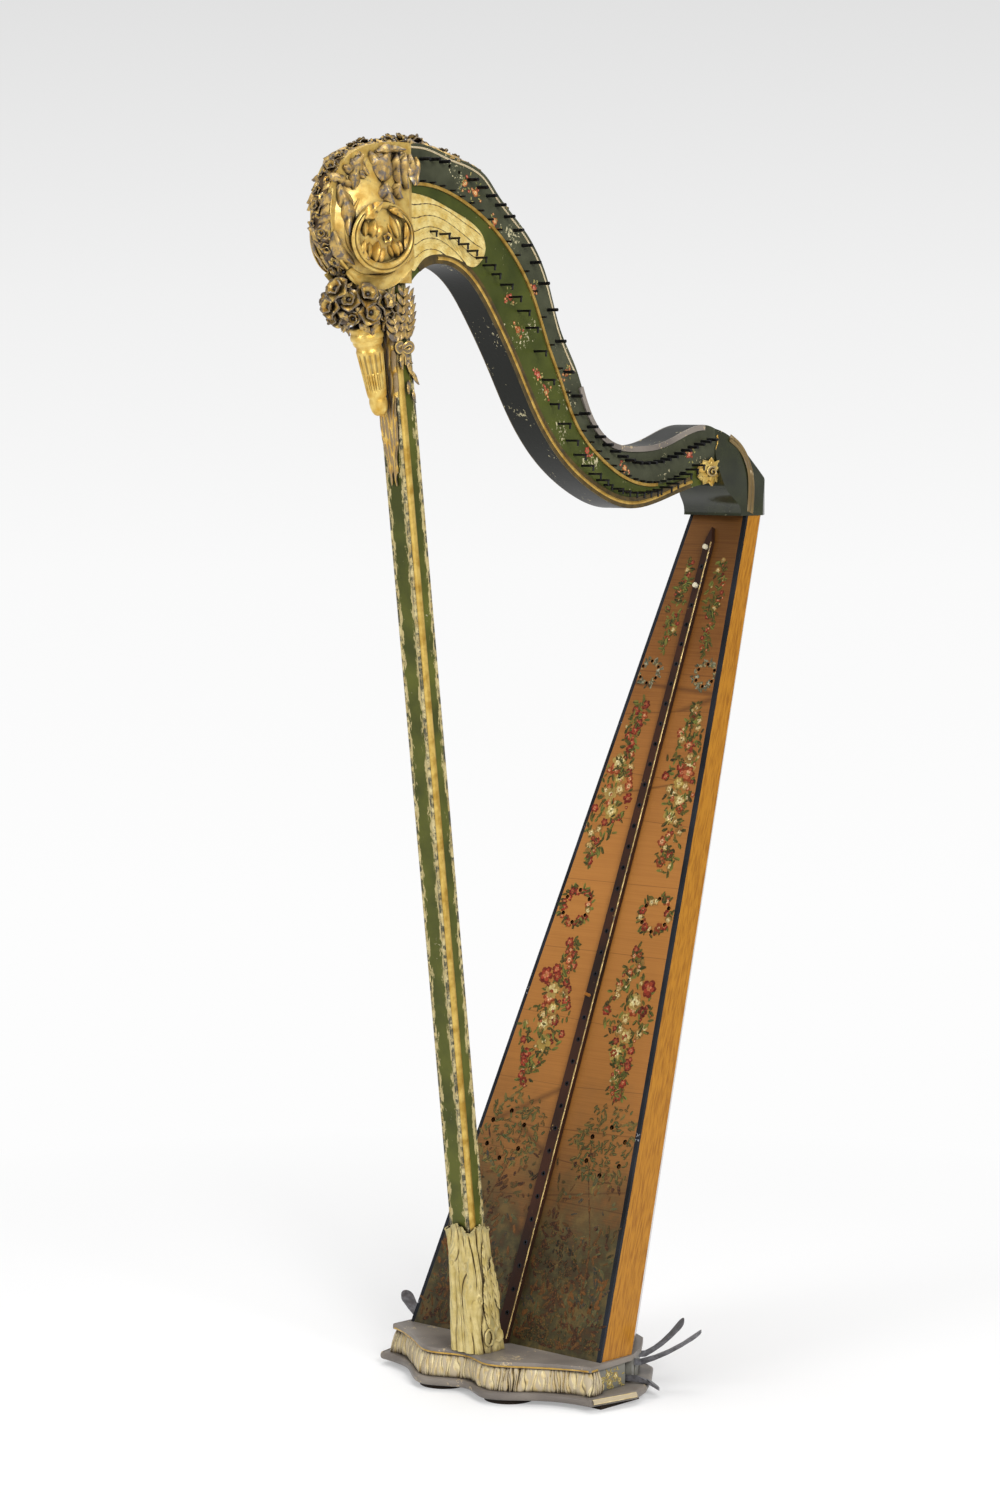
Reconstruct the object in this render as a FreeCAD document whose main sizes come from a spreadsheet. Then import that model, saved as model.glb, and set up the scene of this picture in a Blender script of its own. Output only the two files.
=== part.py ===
"""Single-action pedal harp with a carved scroll head, a painted soundbox and a seven-pedal base.

Frame: +Z up, origin on the floor in the mid-plane, under the foot of the soundboard.  +X runs from
the column towards the player, and -Y is the player's left, the side that carries the strings.
"""
import FreeCAD, Part
import math
import os
from FreeCAD import Placement, Rotation, Vector

os.makedirs("parts", exist_ok=True)
doc = FreeCAD.newDocument("pedal_harp")

# ------------------------------------------------------------------------------ driving sizes (mm)
SIZES = {
    # base
    "foot_height": 7, "foot_dia": 66, "foot_x": -52, "foot_spread": 116,
    "sole_front": -34, "sole_rear": 150, "sole_width": 372, "sole_waist": 210,
    "plinth_thick": 11, "plinth_round": 5, "rim_height": 31, "deck_thick": 7,
    "casing_wall": 9, "deck_overhang": 3, "rod_well": 27,
    # column
    "column_side": 32, "column_bore": 23.4, "column_lean": 6.815, "column_foot_x": -49.1,
    "sleeve_height": 174, "sleeve_foot_x": 60, "sleeve_foot_y": 56, "sleeve_lip": 3,
    "console_web": 17,
    # soundbox
    "board_slope": 22.1, "board_half_foot": 170, "board_half_top": 50, "board_thick": 4,
    "binding_width": 6, "stave_thick": 3.6, "side_depth_foot": 59, "side_depth_top": 26,
    "bar_half_foot": 10, "bar_half_top": 6, "bar_thick": 7, "inner_bar_thick": 6, "bar_tip": 20,
    "string_hole": 4.6, "bottom_string_v": 38, "string_pitch": 28.2, "string_pitch_growth": 0.11,
    "block_thick": 30, "rib_thick": 12, "rib_depth": 14, "peg_dia": 7, "peg_stand": 5,
    "shoulder_level": 1143,
    # neck and head
    "neck_thick": 44, "neck_joint_x": 406, "head_joint_x": -197, "channel_half": 9, "cheek": 12,
    "cover_thick": 5, "cover_margin": 4, "trim_thick": 1.6, "band_width": 15, "fillet_width": 4,
    "fillet_proud": 2.4, "edge_bead": 7.5, "edge_bead_proud": 3,
    "head_thick": 100, "head_swell": 150, "head_x": -228, "head_level": 1522,
    "spine_half": 14, "spine_root": 24, "volute_x": -262, "volute_level": 1511, "volute_dia": 86,
    "volute_proud": 3, "volute_sunk": 14, "crest_thick": 26, "crest_rise": 8,
    "rosette_x": 398, "rosette_level": 1202, "rosette_dia": 38, "rosette_thick": 5,
    # stringing and hooks
    "string_count": 37, "first_pin_x": -178, "pin_pitch": 17.9, "pin_pitch_loss": 0.12,
    "pin_dia": 4.4, "pin_stand": 17, "pin_key_stand": 10, "pin_key_side": 4,
    "nut_dia": 2.6, "nut_stand": 9, "nut_depth": 8,
    "hook_dia": 3, "hook_stand": 22, "hook_leg": 7, "hook_tail": 6, "hook_collar": 5,
    "hook_travel": 6, "collar_thick": 2, "collar_gap": 0.5, "running_fit": 0.06,
    # pedals
    "rod_dia": 2.4, "rod_ring": 9, "rod_stand": 2, "rod_head_gap": 4, "rod_rest_gap": 0.4,
    "pedal_reach": 46, "pedal_stagger": 20,
    "blade_thick": 3, "blade_height": 8, "paddle_width": 20, "paddle_thick": 4, "pedal_swing": 4.8,
    "pivot_level": 31, "pivot_dia": 3, "pivot_cheek": 2.2, "pivot_gap": 0.4, "bracket_half": 5,
    "spring_wire": 1.2, "slot_clear": 1.2, "slot_bridge": 0.6,
    "latch_room": 8,
}
sheet = doc.addObject("Spreadsheet::Sheet", "Sizes")
for row, (alias, value) in enumerate(SIZES.items(), start=1):
    sheet.set(f"A{row}", alias)
    sheet.set(f"B{row}", str(value))
    sheet.setAlias(f"B{row}", alias)
doc.recompute()


def size(alias):
    """One driving size, read from the sheet."""
    return float(getattr(sheet, alias))


PLINTH_TOP = size("foot_height") + size("plinth_thick")
RIM_TOP = PLINTH_TOP + size("rim_height")
DECK_TOP = RIM_TOP + size("deck_thick")
SLOPE = math.radians(size("board_slope"))
LEAN = math.tan(math.radians(size("column_lean")))
HALF_NECK = size("neck_thick") / 2
SHOULDER = size("shoulder_level")
UP = Vector(0, 0, 1)
nodes = []


# ------------------------------------------------------------------------------ modelling helpers
def keep(feature, label):
    """Register a document object as a finished sub-part under its node name."""
    feature.Label = label
    nodes.append(feature)
    return feature


def shaped(label, shape):
    """A sub-part whose shape is worked out from the sheet's sizes."""
    feature = doc.addObject("Part::Feature", label)
    feature.Shape = shape
    return keep(feature, label)


def polygon(points):
    """Closed wire through points."""
    return Part.makePolygon([Vector(*p) for p in points] + [Vector(*points[0])])


def prism(points, vector):
    """Solid swept by a closed polygon along a vector."""
    return Part.Face(polygon(points)).extrude(Vector(*vector))


def ruled(first, second):
    """Straight-sided solid between two polygons with the same number of points."""
    return Part.makeLoft([polygon(first), polygon(second)], True, True)


def rod(start, end, diameter):
    """Round bar between two points."""
    along = Vector(*end) - Vector(*start)
    return Part.makeCylinder(diameter / 2, along.Length, Vector(*start), along)


def spline(points):
    """Smooth curve through points."""
    curve = Part.BSplineCurve()
    curve.interpolate([Vector(*p) for p in points])
    return curve


def profile_face(*runs):
    """Planar face bounded by runs of points in the XZ plane: two points make a line, more a curve."""
    edges = []
    for run in runs:
        points = [Vector(x, 0, z) for x, z in run]
        edges.append((Part.LineSegment(*points) if len(points) == 2 else spline(points)).toShape())
    return Part.Face(Part.Wire(edges))


def slab(face, y_low, y_high):
    """A profile face in the XZ plane turned into a solid between two values of Y."""
    solid = face.extrude(Vector(0, y_high - y_low, 0))
    solid.translate(Vector(0, y_low, 0))
    return solid


def stations(points, count, start=0.0, end=1.0):
    """Evenly spread points of the curve through points, each with its unit normal to the left."""
    curve = spline([(x, 0, z) for x, z in points])
    first, last = curve.FirstParameter, curve.LastParameter
    for i in range(count):
        at = first + (last - first) * (start + (end - start) * i / (count - 1))
        place, along = curve.value(at), curve.tangent(at)[0]
        yield place, Vector(-along.z, 0, along.x)


def ribbon(points, low, high, y_low, y_high, start=0.0, end=1.0, count=16):
    """Strip along a curve in the XZ plane, between two distances to its left."""
    upper, lower = [], []
    for place, left in stations(points, count, start, end):
        upper.append((place.x + left.x * high, place.z + left.z * high))
        lower.append((place.x + left.x * low, place.z + left.z * low))
    return slab(profile_face(lower, (lower[-1], upper[-1]), upper[::-1], (upper[0], lower[0])),
                y_low, y_high)


def both_sides(make, near, far):
    """A pair of trims on the left and right cheeks, at the same distance from the mid-plane."""
    return Part.makeCompound([make(-far, -near), make(near, far)])


def level_at(points, x):
    """Height of the curve through points where it passes a given X."""
    curve = spline([(px, 0, pz) for px, pz in points])
    low, high = curve.FirstParameter, curve.LastParameter
    for _ in range(40):
        middle = (low + high) / 2
        if curve.value(middle).x < x:
            low = middle
        else:
            high = middle
    return curve.value(low).z


# ------------------------------------------------------------------------------ base
def mirrored(half):
    """A half outline on -Y, front to rear, completed with its mirror image on +Y."""
    return half + [(x, -y) for x, y in reversed(half) if y != 0]


def board_outline(front, rear, level):
    """Wire of a base board: a serpentine front run and a faceted rear, both given on -Y."""
    serpentine = [Vector(x, y, level) for x, y in front]
    serpentine += [Vector(v.x, -v.y, level) for v in reversed(serpentine[:-1])]
    facets = [serpentine[0]] + [Vector(x, y, level) for x, y in mirrored(rear)] + [serpentine[-1]]
    edges = [Part.makeLine(a, b) for a, b in zip(facets, facets[1:])]
    curve = Part.BSplineCurve()
    curve.interpolate(serpentine)
    return Part.Wire(edges + [curve.toShape()])


PLINTH_FRONT = [(-40, -189), (-43, -162), (-51, -135), (-72, -103), (-99, -53), (-79, 0)]
PLINTH_REAR = [(36, -205), (66, -194), (109, -166), (150, -134), (188, -56)]
DECK_FRONT = [(-27, -178), (-33, -158), (-43, -137), (-66, -98), (-88, -50), (-74, 0)]
CASING_HALF = [(-6, -171), (58, -171), (100, -150), (140, -119), (176, -50)]


def grown(half, margin):
    """A half outline moved outwards by a margin, measured along X and Y."""
    return [(x + math.copysign(margin, x) * (x > 0), y - margin) for x, y in half]


def make_base():
    """Feet, sole, plinth, gilt front rim, casing with pedal slots, and deck."""
    half_spread = size("foot_spread") / 2
    feet = []
    for side in (-1, 1):
        disc = doc.addObject("Part::Cylinder", f"foot_disc_{'left' if side < 0 else 'right'}")
        disc.setExpression("Radius", "Sizes.foot_dia / 2")
        disc.setExpression("Height", "Sizes.foot_height")
        disc.Placement = Placement(Vector(size("foot_x"), side * half_spread, 0), Rotation())
        feet.append(disc)
    front_feet = doc.addObject("Part::Compound", "front_feet")
    front_feet.Links = feet
    keep(front_feet, "front_feet")

    clear_of_feet = size("foot_x") + size("foot_dia") / 2 + 3
    half_sole, half_waist = size("sole_width") / 2, size("sole_waist") / 2
    body = doc.addObject("PartDesign::Body", "sole_board")
    outline = mirrored([(max(size("sole_front"), clear_of_feet), -half_sole), (60, -half_sole),
                        (size("sole_rear"), -half_waist)])
    pad_sketch(body, [outline], "Sizes.foot_height", 0)
    keep(body, "sole_board")

    plinth = Part.Face(board_outline(PLINTH_FRONT, PLINTH_REAR, size("foot_height")))
    plinth = plinth.extrude(UP * size("plinth_thick"))
    rounded = [e for e in plinth.Edges if e.BoundBox.ZLength < 0.1]
    shaped("plinth", plinth.makeFillet(size("plinth_round"), rounded))

    shaped("front_rim", make_rim())
    shaped("base_casing", make_casing())

    deck_rear = grown(CASING_HALF[1:], size("deck_overhang"))
    deck = Part.Face(board_outline(DECK_FRONT, deck_rear, RIM_TOP)).extrude(UP * size("deck_thick"))
    well = column_point(RIM_TOP)
    deck = deck.cut(Part.makeCylinder(size("rod_well") / 2, size("deck_thick"), well))
    lip = [e for e in deck.Edges if e.BoundBox.ZLength < 0.1 and e.BoundBox.ZMax > DECK_TOP - 0.1
           and e.BoundBox.XMin < DECK_FRONT[-1][0]]
    shaped("deck", deck.makeFillet(size("deck_thick") * 0.4, lip))


def pad_sketch(body, polygons, length, level):
    """Sketch closed polygons on the body's XY plane at a level and pad them upwards."""
    plane = next(f for f in body.Origin.OriginFeatures if f.Role == "XY_Plane")
    sketch = body.newObject("Sketcher::SketchObject", f"{body.Name}_sketch")
    sketch.AttachmentSupport = (plane, "")
    sketch.MapMode = "FlatFace"
    sketch.AttachmentOffset = Placement(Vector(0, 0, level), Rotation())
    for points in polygons:
        for a, b in zip(points, points[1:] + points[:1]):
            sketch.addGeometry(Part.LineSegment(Vector(*a, 0), Vector(*b, 0)))
    doc.recompute()
    pad = body.newObject("PartDesign::Pad", f"{body.Name}_pad")
    pad.Profile = sketch
    pad.setExpression("Length", length)
    doc.recompute()
    return pad


def make_rim():
    """Wall between plinth and deck along the serpentine front, leaning in towards the top."""
    def front_wire(front, inset, level):
        outer = [Vector(x + inset, y + inset * (y < -150), level) for x, y in front]
        outer += [Vector(v.x, -v.y, level) for v in reversed(outer[:-1])]
        curve = Part.BSplineCurve()
        curve.interpolate(outer)
        ends = [outer[-1], Vector(CASING_HALF[0][0], outer[-1].y, level),
                Vector(CASING_HALF[0][0], outer[0].y, level), outer[0]]
        return Part.Wire([curve.toShape()] + [Part.makeLine(a, b) for a, b in zip(ends, ends[1:])])

    wall = Part.makeLoft([front_wire(PLINTH_FRONT, 9, PLINTH_TOP),
                          front_wire(DECK_FRONT, 4, RIM_TOP)], True, True)
    foot = column_point(PLINTH_TOP)
    room = size("rod_ring") + size("rod_dia") + size("slot_clear") * 6
    well = Part.makeCylinder(room, size("rim_height"), foot)
    back = CASING_HALF[0][0]
    spread = max(pedal.reach_at(back) for pedal in PEDALS)
    fan = [(foot.x, -room), (back, -spread), (back, spread), (foot.x, room)]
    passage = prism([(x, y, PLINTH_TOP) for x, y in fan], (0, 0, size("rim_height")))
    return wall.cut([well, passage])


def make_casing():
    """Side and rear walls of the base, open at the front, with an upright slot for each pedal."""
    wall, low = size("casing_wall"), PLINTH_TOP
    outer = mirrored(CASING_HALF)
    inner = mirrored([(x - wall * (x > 100), y + wall) for x, y in CASING_HALF])
    ring = prism([(x, y, low) for x, y in outer], (0, 0, size("rim_height")))
    ring = ring.cut(prism([(x, y, low) for x, y in inner], (0, 0, size("rim_height"))))
    slots = [pedal.slot() for pedal in PEDALS]
    return ring.cut(slots)


# ------------------------------------------------------------------------------ column
def column_point(level):
    """Point of the column's axis at a height."""
    return Vector(size("column_foot_x") - LEAN * (level - DECK_TOP), 0, level)


def column_section(level, margin=0.0):
    """Corners of the column's horizontal section, grown by a margin."""
    centre, half = column_point(level), size("column_side") / 2 + margin
    along = half / math.cos(math.atan(LEAN))
    return [(centre.x + sx * along, sy * half, level) for sx, sy in ((-1, -1), (1, -1), (1, 1), (-1, 1))]


def make_column():
    """Hollow column, carved sleeve at its foot and fluted console below the head."""
    axis = column_point(COLUMN_TOP) - column_point(DECK_TOP)
    bar = prism(column_section(DECK_TOP), tuple(axis))
    past_end = axis.normalize() * size("column_side")
    bore = rod(column_point(DECK_TOP) - past_end, column_point(COLUMN_TOP) + past_end,
               size("column_bore"))
    shaped("column_shaft", bar.cut(bore))

    sleeve_top = DECK_TOP + size("sleeve_height")
    foot_x, foot_y = size("sleeve_foot_x") / 2, size("sleeve_foot_y") / 2
    foot = [(size("column_foot_x") + sx * foot_x, sy * foot_y, DECK_TOP)
            for sx, sy in ((-1, -1), (1, -1), (1, 1), (-1, 1))]
    sleeve = ruled(foot, column_section(sleeve_top, size("sleeve_lip")))
    shaped("column_sleeve", sleeve.cut(bar))

    console = make_console()
    shaped("console", console.cut(bar))
    shaped("bouquet", make_bouquet(console).cut(bar))


def make_console():
    """Fluted cone with a ball tip and a moulded cap ring, on a web against the column's front."""
    profile = [(0, 1282), (7, 1284), (10.5, 1290), (11.5, 1298), (11, 1304), (12, 1308), (17, 1366),
               (16, 1371), (19, 1376), (21, 1381), (21, 1386), (19.5, 1390), (21, 1394), (21, 1397), (0, 1397)]
    wire = polygon([(r, 0, z) for r, z in profile])
    cone = Part.Face(wire).revolve(Vector(0, 0, 0), UP, 360)
    lean = CONSOLE_TOP - CONSOLE_TIP
    cone.translate(Vector(0, 0, -CONSOLE_TIP.z))
    tilt = Rotation(UP, lean)
    cone.Placement = Placement(CONSOLE_TIP, tilt).multiply(cone.Placement)
    low, high = CONSOLE_TIP + lean * 0.08, CONSOLE_TOP
    web = profile_face(((low.x, low.z), (column_point(low.z).x, low.z)),
                       ((column_point(low.z).x, low.z), (column_point(high.z).x, high.z)),
                       ((column_point(high.z).x, high.z), (high.x, high.z)), ((high.x, high.z), (low.x, low.z)))
    half = size("console_web") / 2
    return cone.fuse(slab(web, -half, half)).removeSplitter()


def make_bouquet(console):
    """Cluster of blooms between the cap ring and the scroll."""
    blooms = [(-256, 0, 1420, 26), (-288, 0, 1412, 20), (-305, 0, 1429, 15), (-274, -19, 1415, 17),
              (-276, 18, 1413, 17), (-250, -26, 1424, 16), (-252, 26, 1422, 17)]
    balls = []
    for i, (x, y, z, radius) in enumerate(blooms):
        ball = Part.makeSphere(radius)
        ball.Placement = Placement(Vector(x, y, z), Rotation(Vector(1, 2, 3), 33 + 11 * i))
        balls.append(ball)
    cluster = balls[0].multiFuse(balls[1:])
    return cluster.cut([console, HEAD_SOLID[0]])


CONSOLE_TIP = Vector(-228, 0, 1282)
CONSOLE_TOP = Vector(-256, 0, 1397)
COLUMN_TOP = 1456


# ------------------------------------------------------------------------------ soundbox
def board_x(level):
    """X of the soundboard's front face at a height."""
    return (level - DECK_TOP) * math.tan(SLOPE)


def blend(level, at_foot, at_top):
    """A size that tapers straight from the foot of the soundbox to the shoulder."""
    return at_foot + (at_top - at_foot) * (level - DECK_TOP) / (SHOULDER - DECK_TOP)


def half_board(level):
    """Half the soundboard's width at a height."""
    return blend(level, size("board_half_foot"), size("board_half_top"))


def board_point(u, v, w=0.0):
    """Point at u across, v up along the soundboard, and w in front of its face."""
    return Vector(v * math.sin(SLOPE) - w * math.cos(SLOPE), u,
                  DECK_TOP + v * math.cos(SLOPE) + w * math.sin(SLOPE))


BOARD_NORMAL = Vector(-math.cos(SLOPE), 0, math.sin(SLOPE))
BOARD_LENGTH = (SHOULDER - DECK_TOP) / math.cos(SLOPE)
STAVE_TURNS = [0, 37, 64]


def box_section(level, inset=0.0):
    """Half outline on -Y of the staved back, from the soundboard round to the rear stave's edge."""
    half = half_board(level)
    front = board_x(level) + size("board_thick") / math.cos(SLOPE)
    depth = blend(level, size("side_depth_foot"), size("side_depth_top"))
    run = 0.494 * half
    widths = [depth, run, run]
    x, y = front, -half
    points = [(x, y)]
    for turn, width in zip(STAVE_TURNS, widths):
        x += width * math.cos(math.radians(turn))
        y += width * math.sin(math.radians(turn))
        points.append((x, y))
    if inset == 0:
        return points
    turns = [math.radians(t) for t in STAVE_TURNS + [90]]
    moved = [(front, -half + inset)]
    for i in range(1, len(points)):
        a, b = turns[i - 1], turns[i]
        reach = inset * math.tan((b - a) / 2)
        moved.append((points[i][0] - inset * math.sin(a) - reach * math.cos(a),
                      points[i][1] + inset * math.cos(a) - reach * math.sin(a)))
    return moved


def make_soundbox():
    """Soundboard with its bars and edging, seven staves, end blocks, ribs and string pegs."""
    low, high = DECK_TOP, SHOULDER
    thick = size("board_thick") / math.cos(SLOPE)

    def strip(level, y_in, y_out):
        x = board_x(level)
        return [(x, y_in, level), (x, y_out, level), (x + thick, y_out, level), (x + thick, y_in, level)]

    edge = size("binding_width")
    board = ruled(strip(low, edge - half_board(low), half_board(low) - edge),
                  strip(high, edge - half_board(high), half_board(high) - edge))
    string_holes = [rod(board_point(0, v, -30), board_point(0, v, 20), size("string_hole"))
                    for v in STRING_FEET]
    shaped("soundboard", board.cut(string_holes + make_roses()))
    shaped("board_binding", Part.makeCompound(
        [ruled(strip(low, s * (half_board(low) - edge), s * half_board(low)),
               strip(high, s * (half_board(high) - edge), s * half_board(high))) for s in (-1, 1)]))

    def bar(front, back, v_low, v_high, tip):
        foot, top = size("bar_half_foot"), size("bar_half_top")
        outline = [(-foot, v_low), (foot, v_low), (top, v_high), (0, v_high + tip), (-top, v_high)]
        plate = prism([tuple(board_point(u, v, back)) for u, v in outline], BOARD_NORMAL * (front - back))
        floor = Part.makeBox(400, 400, 60, Vector(-200, -200, DECK_TOP - 60))
        return plate.cut([floor] + string_holes)

    tip = size("bar_tip")
    shaped("string_bar", bar(size("bar_thick"), 0, -10, BOARD_LENGTH - 2 * tip, tip))
    behind = -size("board_thick")
    block_v = size("block_thick") / math.cos(SLOPE)
    shaped("inner_bar", bar(behind, behind - size("inner_bar_thick"), block_v + 5,
                            BOARD_LENGTH - block_v - 10, 0.5))

    outer = [box_section(low), box_section(high)]
    inner = [box_section(low, size("stave_thick")), box_section(high, size("stave_thick"))]

    def stave(i, side):
        ends = []
        for level, out, inn in zip((low, high), outer, inner):
            quad = [out[i], out[i + 1], inn[i + 1], inn[i]]
            ends.append([(x, side * y, level) for x, y in quad])
        return ruled(*ends)

    shaped("side_staves", Part.makeCompound([stave(0, 1), stave(0, -1)]))
    rear = []
    for level, out, inn in zip((low, high), outer, inner):
        rear.append([(out[-1][0], out[-1][1], level), (out[-1][0], -out[-1][1], level),
                     (inn[-1][0], -inn[-1][1], level), (inn[-1][0], inn[-1][1], level)])
    back = [stave(i, side) for i in (1, 2) for side in (1, -1)] + [ruled(*rear)]
    shaped("back_staves", Part.makeCompound(back))

    def block(bottom, top):
        return ruled(*[[(x, y, level) for x, y in mirrored(box_section(level, size("stave_thick")))]
                       for level in (bottom, top)])

    block_thick = size("block_thick")
    shaped("foot_block", block(low, low + block_thick).cut(string_holes))
    shaped("top_block", block(high - block_thick, high))
    ribs = []
    for v in RIB_PLACES:
        level = board_point(0, v).z
        half = half_board(level + size("rib_thick")) - size("stave_thick") - 0.2
        x = board_x(level) + thick + size("inner_bar_thick") / math.cos(SLOPE) + 0.1
        rise = size("rib_thick")
        lean = (rise * math.tan(SLOPE), 0, rise)
        ribs.append(prism([(x, -half, level), (x + size("rib_depth"), -half, level),
                           (x + size("rib_depth"), half, level), (x, half, level)], lean))
    shaped("box_ribs", Part.makeCompound(ribs).cut(string_holes))

    pegs = []
    for v in (STRING_FEET[-1], STRING_FEET[-3]):
        stem = rod(board_point(0, v, -3), board_point(0, v, size("bar_thick")), size("string_hole") - 0.1)
        top = rod(board_point(0, v, size("bar_thick")),
                  board_point(0, v, size("bar_thick") + size("peg_stand")), size("peg_dia"))
        pegs.append(stem.fuse(top))
    shaped("string_pegs", Part.makeCompound(pegs))


def make_roses():
    """Three pairs of sound holes, each a ring of six, one hole of each ring uppermost."""
    roses = [(90, 273, 33, 6.4), (71, 599, 23, 5.4), (50, 940, 16, 4.2)]
    holes = []
    for across, up, radius, diameter in roses:
        for side in (-1, 1):
            for k in range(6):
                turn = math.radians(60 * k)
                u, v = side * across + radius * math.sin(turn), up + radius * math.cos(turn)
                holes.append(rod(board_point(u, v, -20), board_point(u, v, 10), diameter))
    return holes


STRING_FEET = [size("bottom_string_v")]
for step in range(int(size("string_count")) - 1):
    wider = size("string_pitch_growth") * (size("string_count") - 2 - step)
    STRING_FEET.append(STRING_FEET[-1] + size("string_pitch") + wider)
RIB_PLACES = [160, 440, 780]


# ------------------------------------------------------------------------------ neck and head
EXTRADOS = [(-197, 1621), (-166, 1620), (-127, 1610), (-88, 1601), (-57, 1587), (-35, 1565), (-9, 1542),
            (19, 1518), (58, 1465), (89, 1389), (118, 1343), (149, 1280), (186, 1248), (240, 1240),
            (288, 1244), (327, 1256), (365, 1267), (406, 1263)]
INTRADOS = [(-197, 1447), (-180, 1462), (-155, 1472), (-128, 1471), (-96, 1457), (-53, 1412), (-5, 1342),
            (36, 1277), (89, 1219), (156, 1177), (224, 1157), (292, 1166), (362, 1184), (406, 1188)]
GILT_FILLET = [(-190, 1571), (-139, 1566), (-104, 1554), (-69, 1537), (-9, 1490), (32, 1435), (60, 1375),
               (86, 1326), (119, 1267), (172, 1221), (240, 1191), (305, 1191), (352, 1208)]
HOOK_ROW = [(-170, 1513), (-124, 1503), (-93, 1489), (-57, 1470), (-15, 1436), (22, 1391), (55, 1320),
            (93, 1256), (127, 1217), (159, 1196), (206, 1180), (247, 1178), (289, 1184), (324, 1198),
            (372, 1218)]
TUNING_ROW = [(-182, 1602), (-122, 1595), (-74, 1572), (-39, 1551), (-4, 1519), (33, 1473), (71, 1396),
              (107, 1312), (137, 1271), (182, 1237), (225, 1220), (282, 1220), (323, 1230), (392, 1248)]
HEAD_RIM = [(-264, 1449), (-303, 1463), (-331, 1497), (-333, 1552), (-303, 1600), (-252, 1619), (-197, 1621)]
STRING_X = [size("first_pin_x") + i * size("pin_pitch") - i * (i - 1) / 2 * size("pin_pitch_loss")
            for i in range(int(size("string_count")))]
HEAD_FOOT = INTRADOS[0][1]
HEAD_HEEL_X = -236
EMPTY_PINS = (3, 4)
HOOK_X_SHIFT = 0.965


def neck_face():
    """Side profile of the neck."""
    return profile_face(EXTRADOS, (EXTRADOS[-1], INTRADOS[-1]), INTRADOS[::-1], (INTRADOS[0], EXTRADOS[0]))


def make_neck():
    """Curved neck with the hook channel, its cover on the right, and the gilt trims."""
    neck = slab(neck_face(), -HALF_NECK, HALF_NECK)
    half = size("channel_half")
    channel = ribbon(HOOK_ROW, -half, half, -HALF_NECK + size("cheek"), HALF_NECK)
    lip = half + size("cover_margin")
    recess = ribbon(HOOK_ROW, -lip, lip, HALF_NECK - size("cover_thick"), HALF_NECK)
    bores = [rod((x, -HALF_NECK, z), (x, HALF_NECK, z), size("pin_dia") + 0.02)
             for x, z in tuning_places()]
    bores += [rod((x, -HALF_NECK, z), (x, size("nut_depth") - HALF_NECK, z), size("nut_dia"))
              for x, z in nut_places()]
    bores += [rod((x, -HALF_NECK, z), (x, 0, z), size("hook_dia") + 2 * size("running_fit"))
              for x, z in hook_places()]
    shaped("neck_body", neck.cut([channel, recess]).cut(bores))
    shaped("neck_cover", recess)

    trim = size("trim_thick")
    shaped("intrados_band", both_sides(
        lambda a, b: ribbon(INTRADOS, 0.2, size("band_width"), a, b, 0.03, 0.93, 22),
        HALF_NECK, HALF_NECK + trim))
    side = size("fillet_width") / 2
    shaped("gilt_fillet", both_sides(
        lambda a, b: ribbon(GILT_FILLET, -side, side, a, b, 0, 0.9, 20), HALF_NECK,
        HALF_NECK + size("fillet_proud")))
    shaped("edge_bead", both_sides(
        lambda a, b: ribbon(EXTRADOS, -size("edge_bead"), -0.2, a, b, 0.60, 0.97, 12), HALF_NECK,
        HALF_NECK + size("edge_bead_proud")))


def head_swell(side):
    """Centre of the sphere that gives one cheek of the head its swelling."""
    return Vector(size("head_x"), side * (size("head_thick") / 2 - size("head_swell")), size("head_level"))


def make_head():
    """Scroll head: swelling cheeks round a narrow spine, with the column's pocket underneath."""
    joint = size("head_joint_x")
    heel = (HEAD_HEEL_X, HEAD_FOOT)
    face = profile_face(HEAD_RIM, (HEAD_RIM[-1], (joint, HEAD_FOOT)), ((joint, HEAD_FOOT), heel),
                        (heel, HEAD_RIM[0]))
    half = size("head_thick") / 2
    profile = slab(face, -half, half)
    left, right = [Part.makeSphere(size("head_swell"), head_swell(side)) for side in (-1, 1)]
    swelling = profile.common(left).common(right)
    nose = min(x for x, _ in HEAD_RIM) - size("crest_rise")
    low = HEAD_RIM[0][1] - half
    tall = max(z for _, z in HEAD_RIM) + half - low
    spine = profile.common(prism([(x, y, low) for x, y in mirrored(
        [(nose, -size("spine_half")), (size("head_x"), -size("spine_root")),
         (joint, -size("spine_root"))])], (0, 0, tall)))
    plan = mirrored([(nose, -half), (size("head_x"), -half), (joint, -HALF_NECK - 3)])
    head = swelling.fuse(spine).common(prism([(x, y, low) for x, y in plan], (0, 0, tall)))
    pocket = ruled(column_section(HEAD_FOOT - 7), column_section(COLUMN_TOP))
    rise = COLUMN_TOP + size("rod_stand") + rod_lift() + size("rod_head_gap")
    bore = rod(column_point(HEAD_FOOT), column_point(rise), size("column_bore"))
    return head.removeSplitter().cut([pocket, bore])


def make_volute(side):
    """One volute drum, standing square on the swelling cheek."""
    ball = head_swell(side)
    level, x = size("volute_level"), size("volute_x")
    fall = (x - ball.x) ** 2 + (level - ball.z) ** 2
    outward = Vector(x - ball.x, side * math.sqrt(size("head_swell") ** 2 - fall), level - ball.z)
    seat = ball + outward
    outward.normalize()
    drum = rod(seat - outward * size("volute_sunk"), seat + outward * size("volute_proud"), size("volute_dia"))
    return drum.cut(HEAD_SOLID[0])


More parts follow.
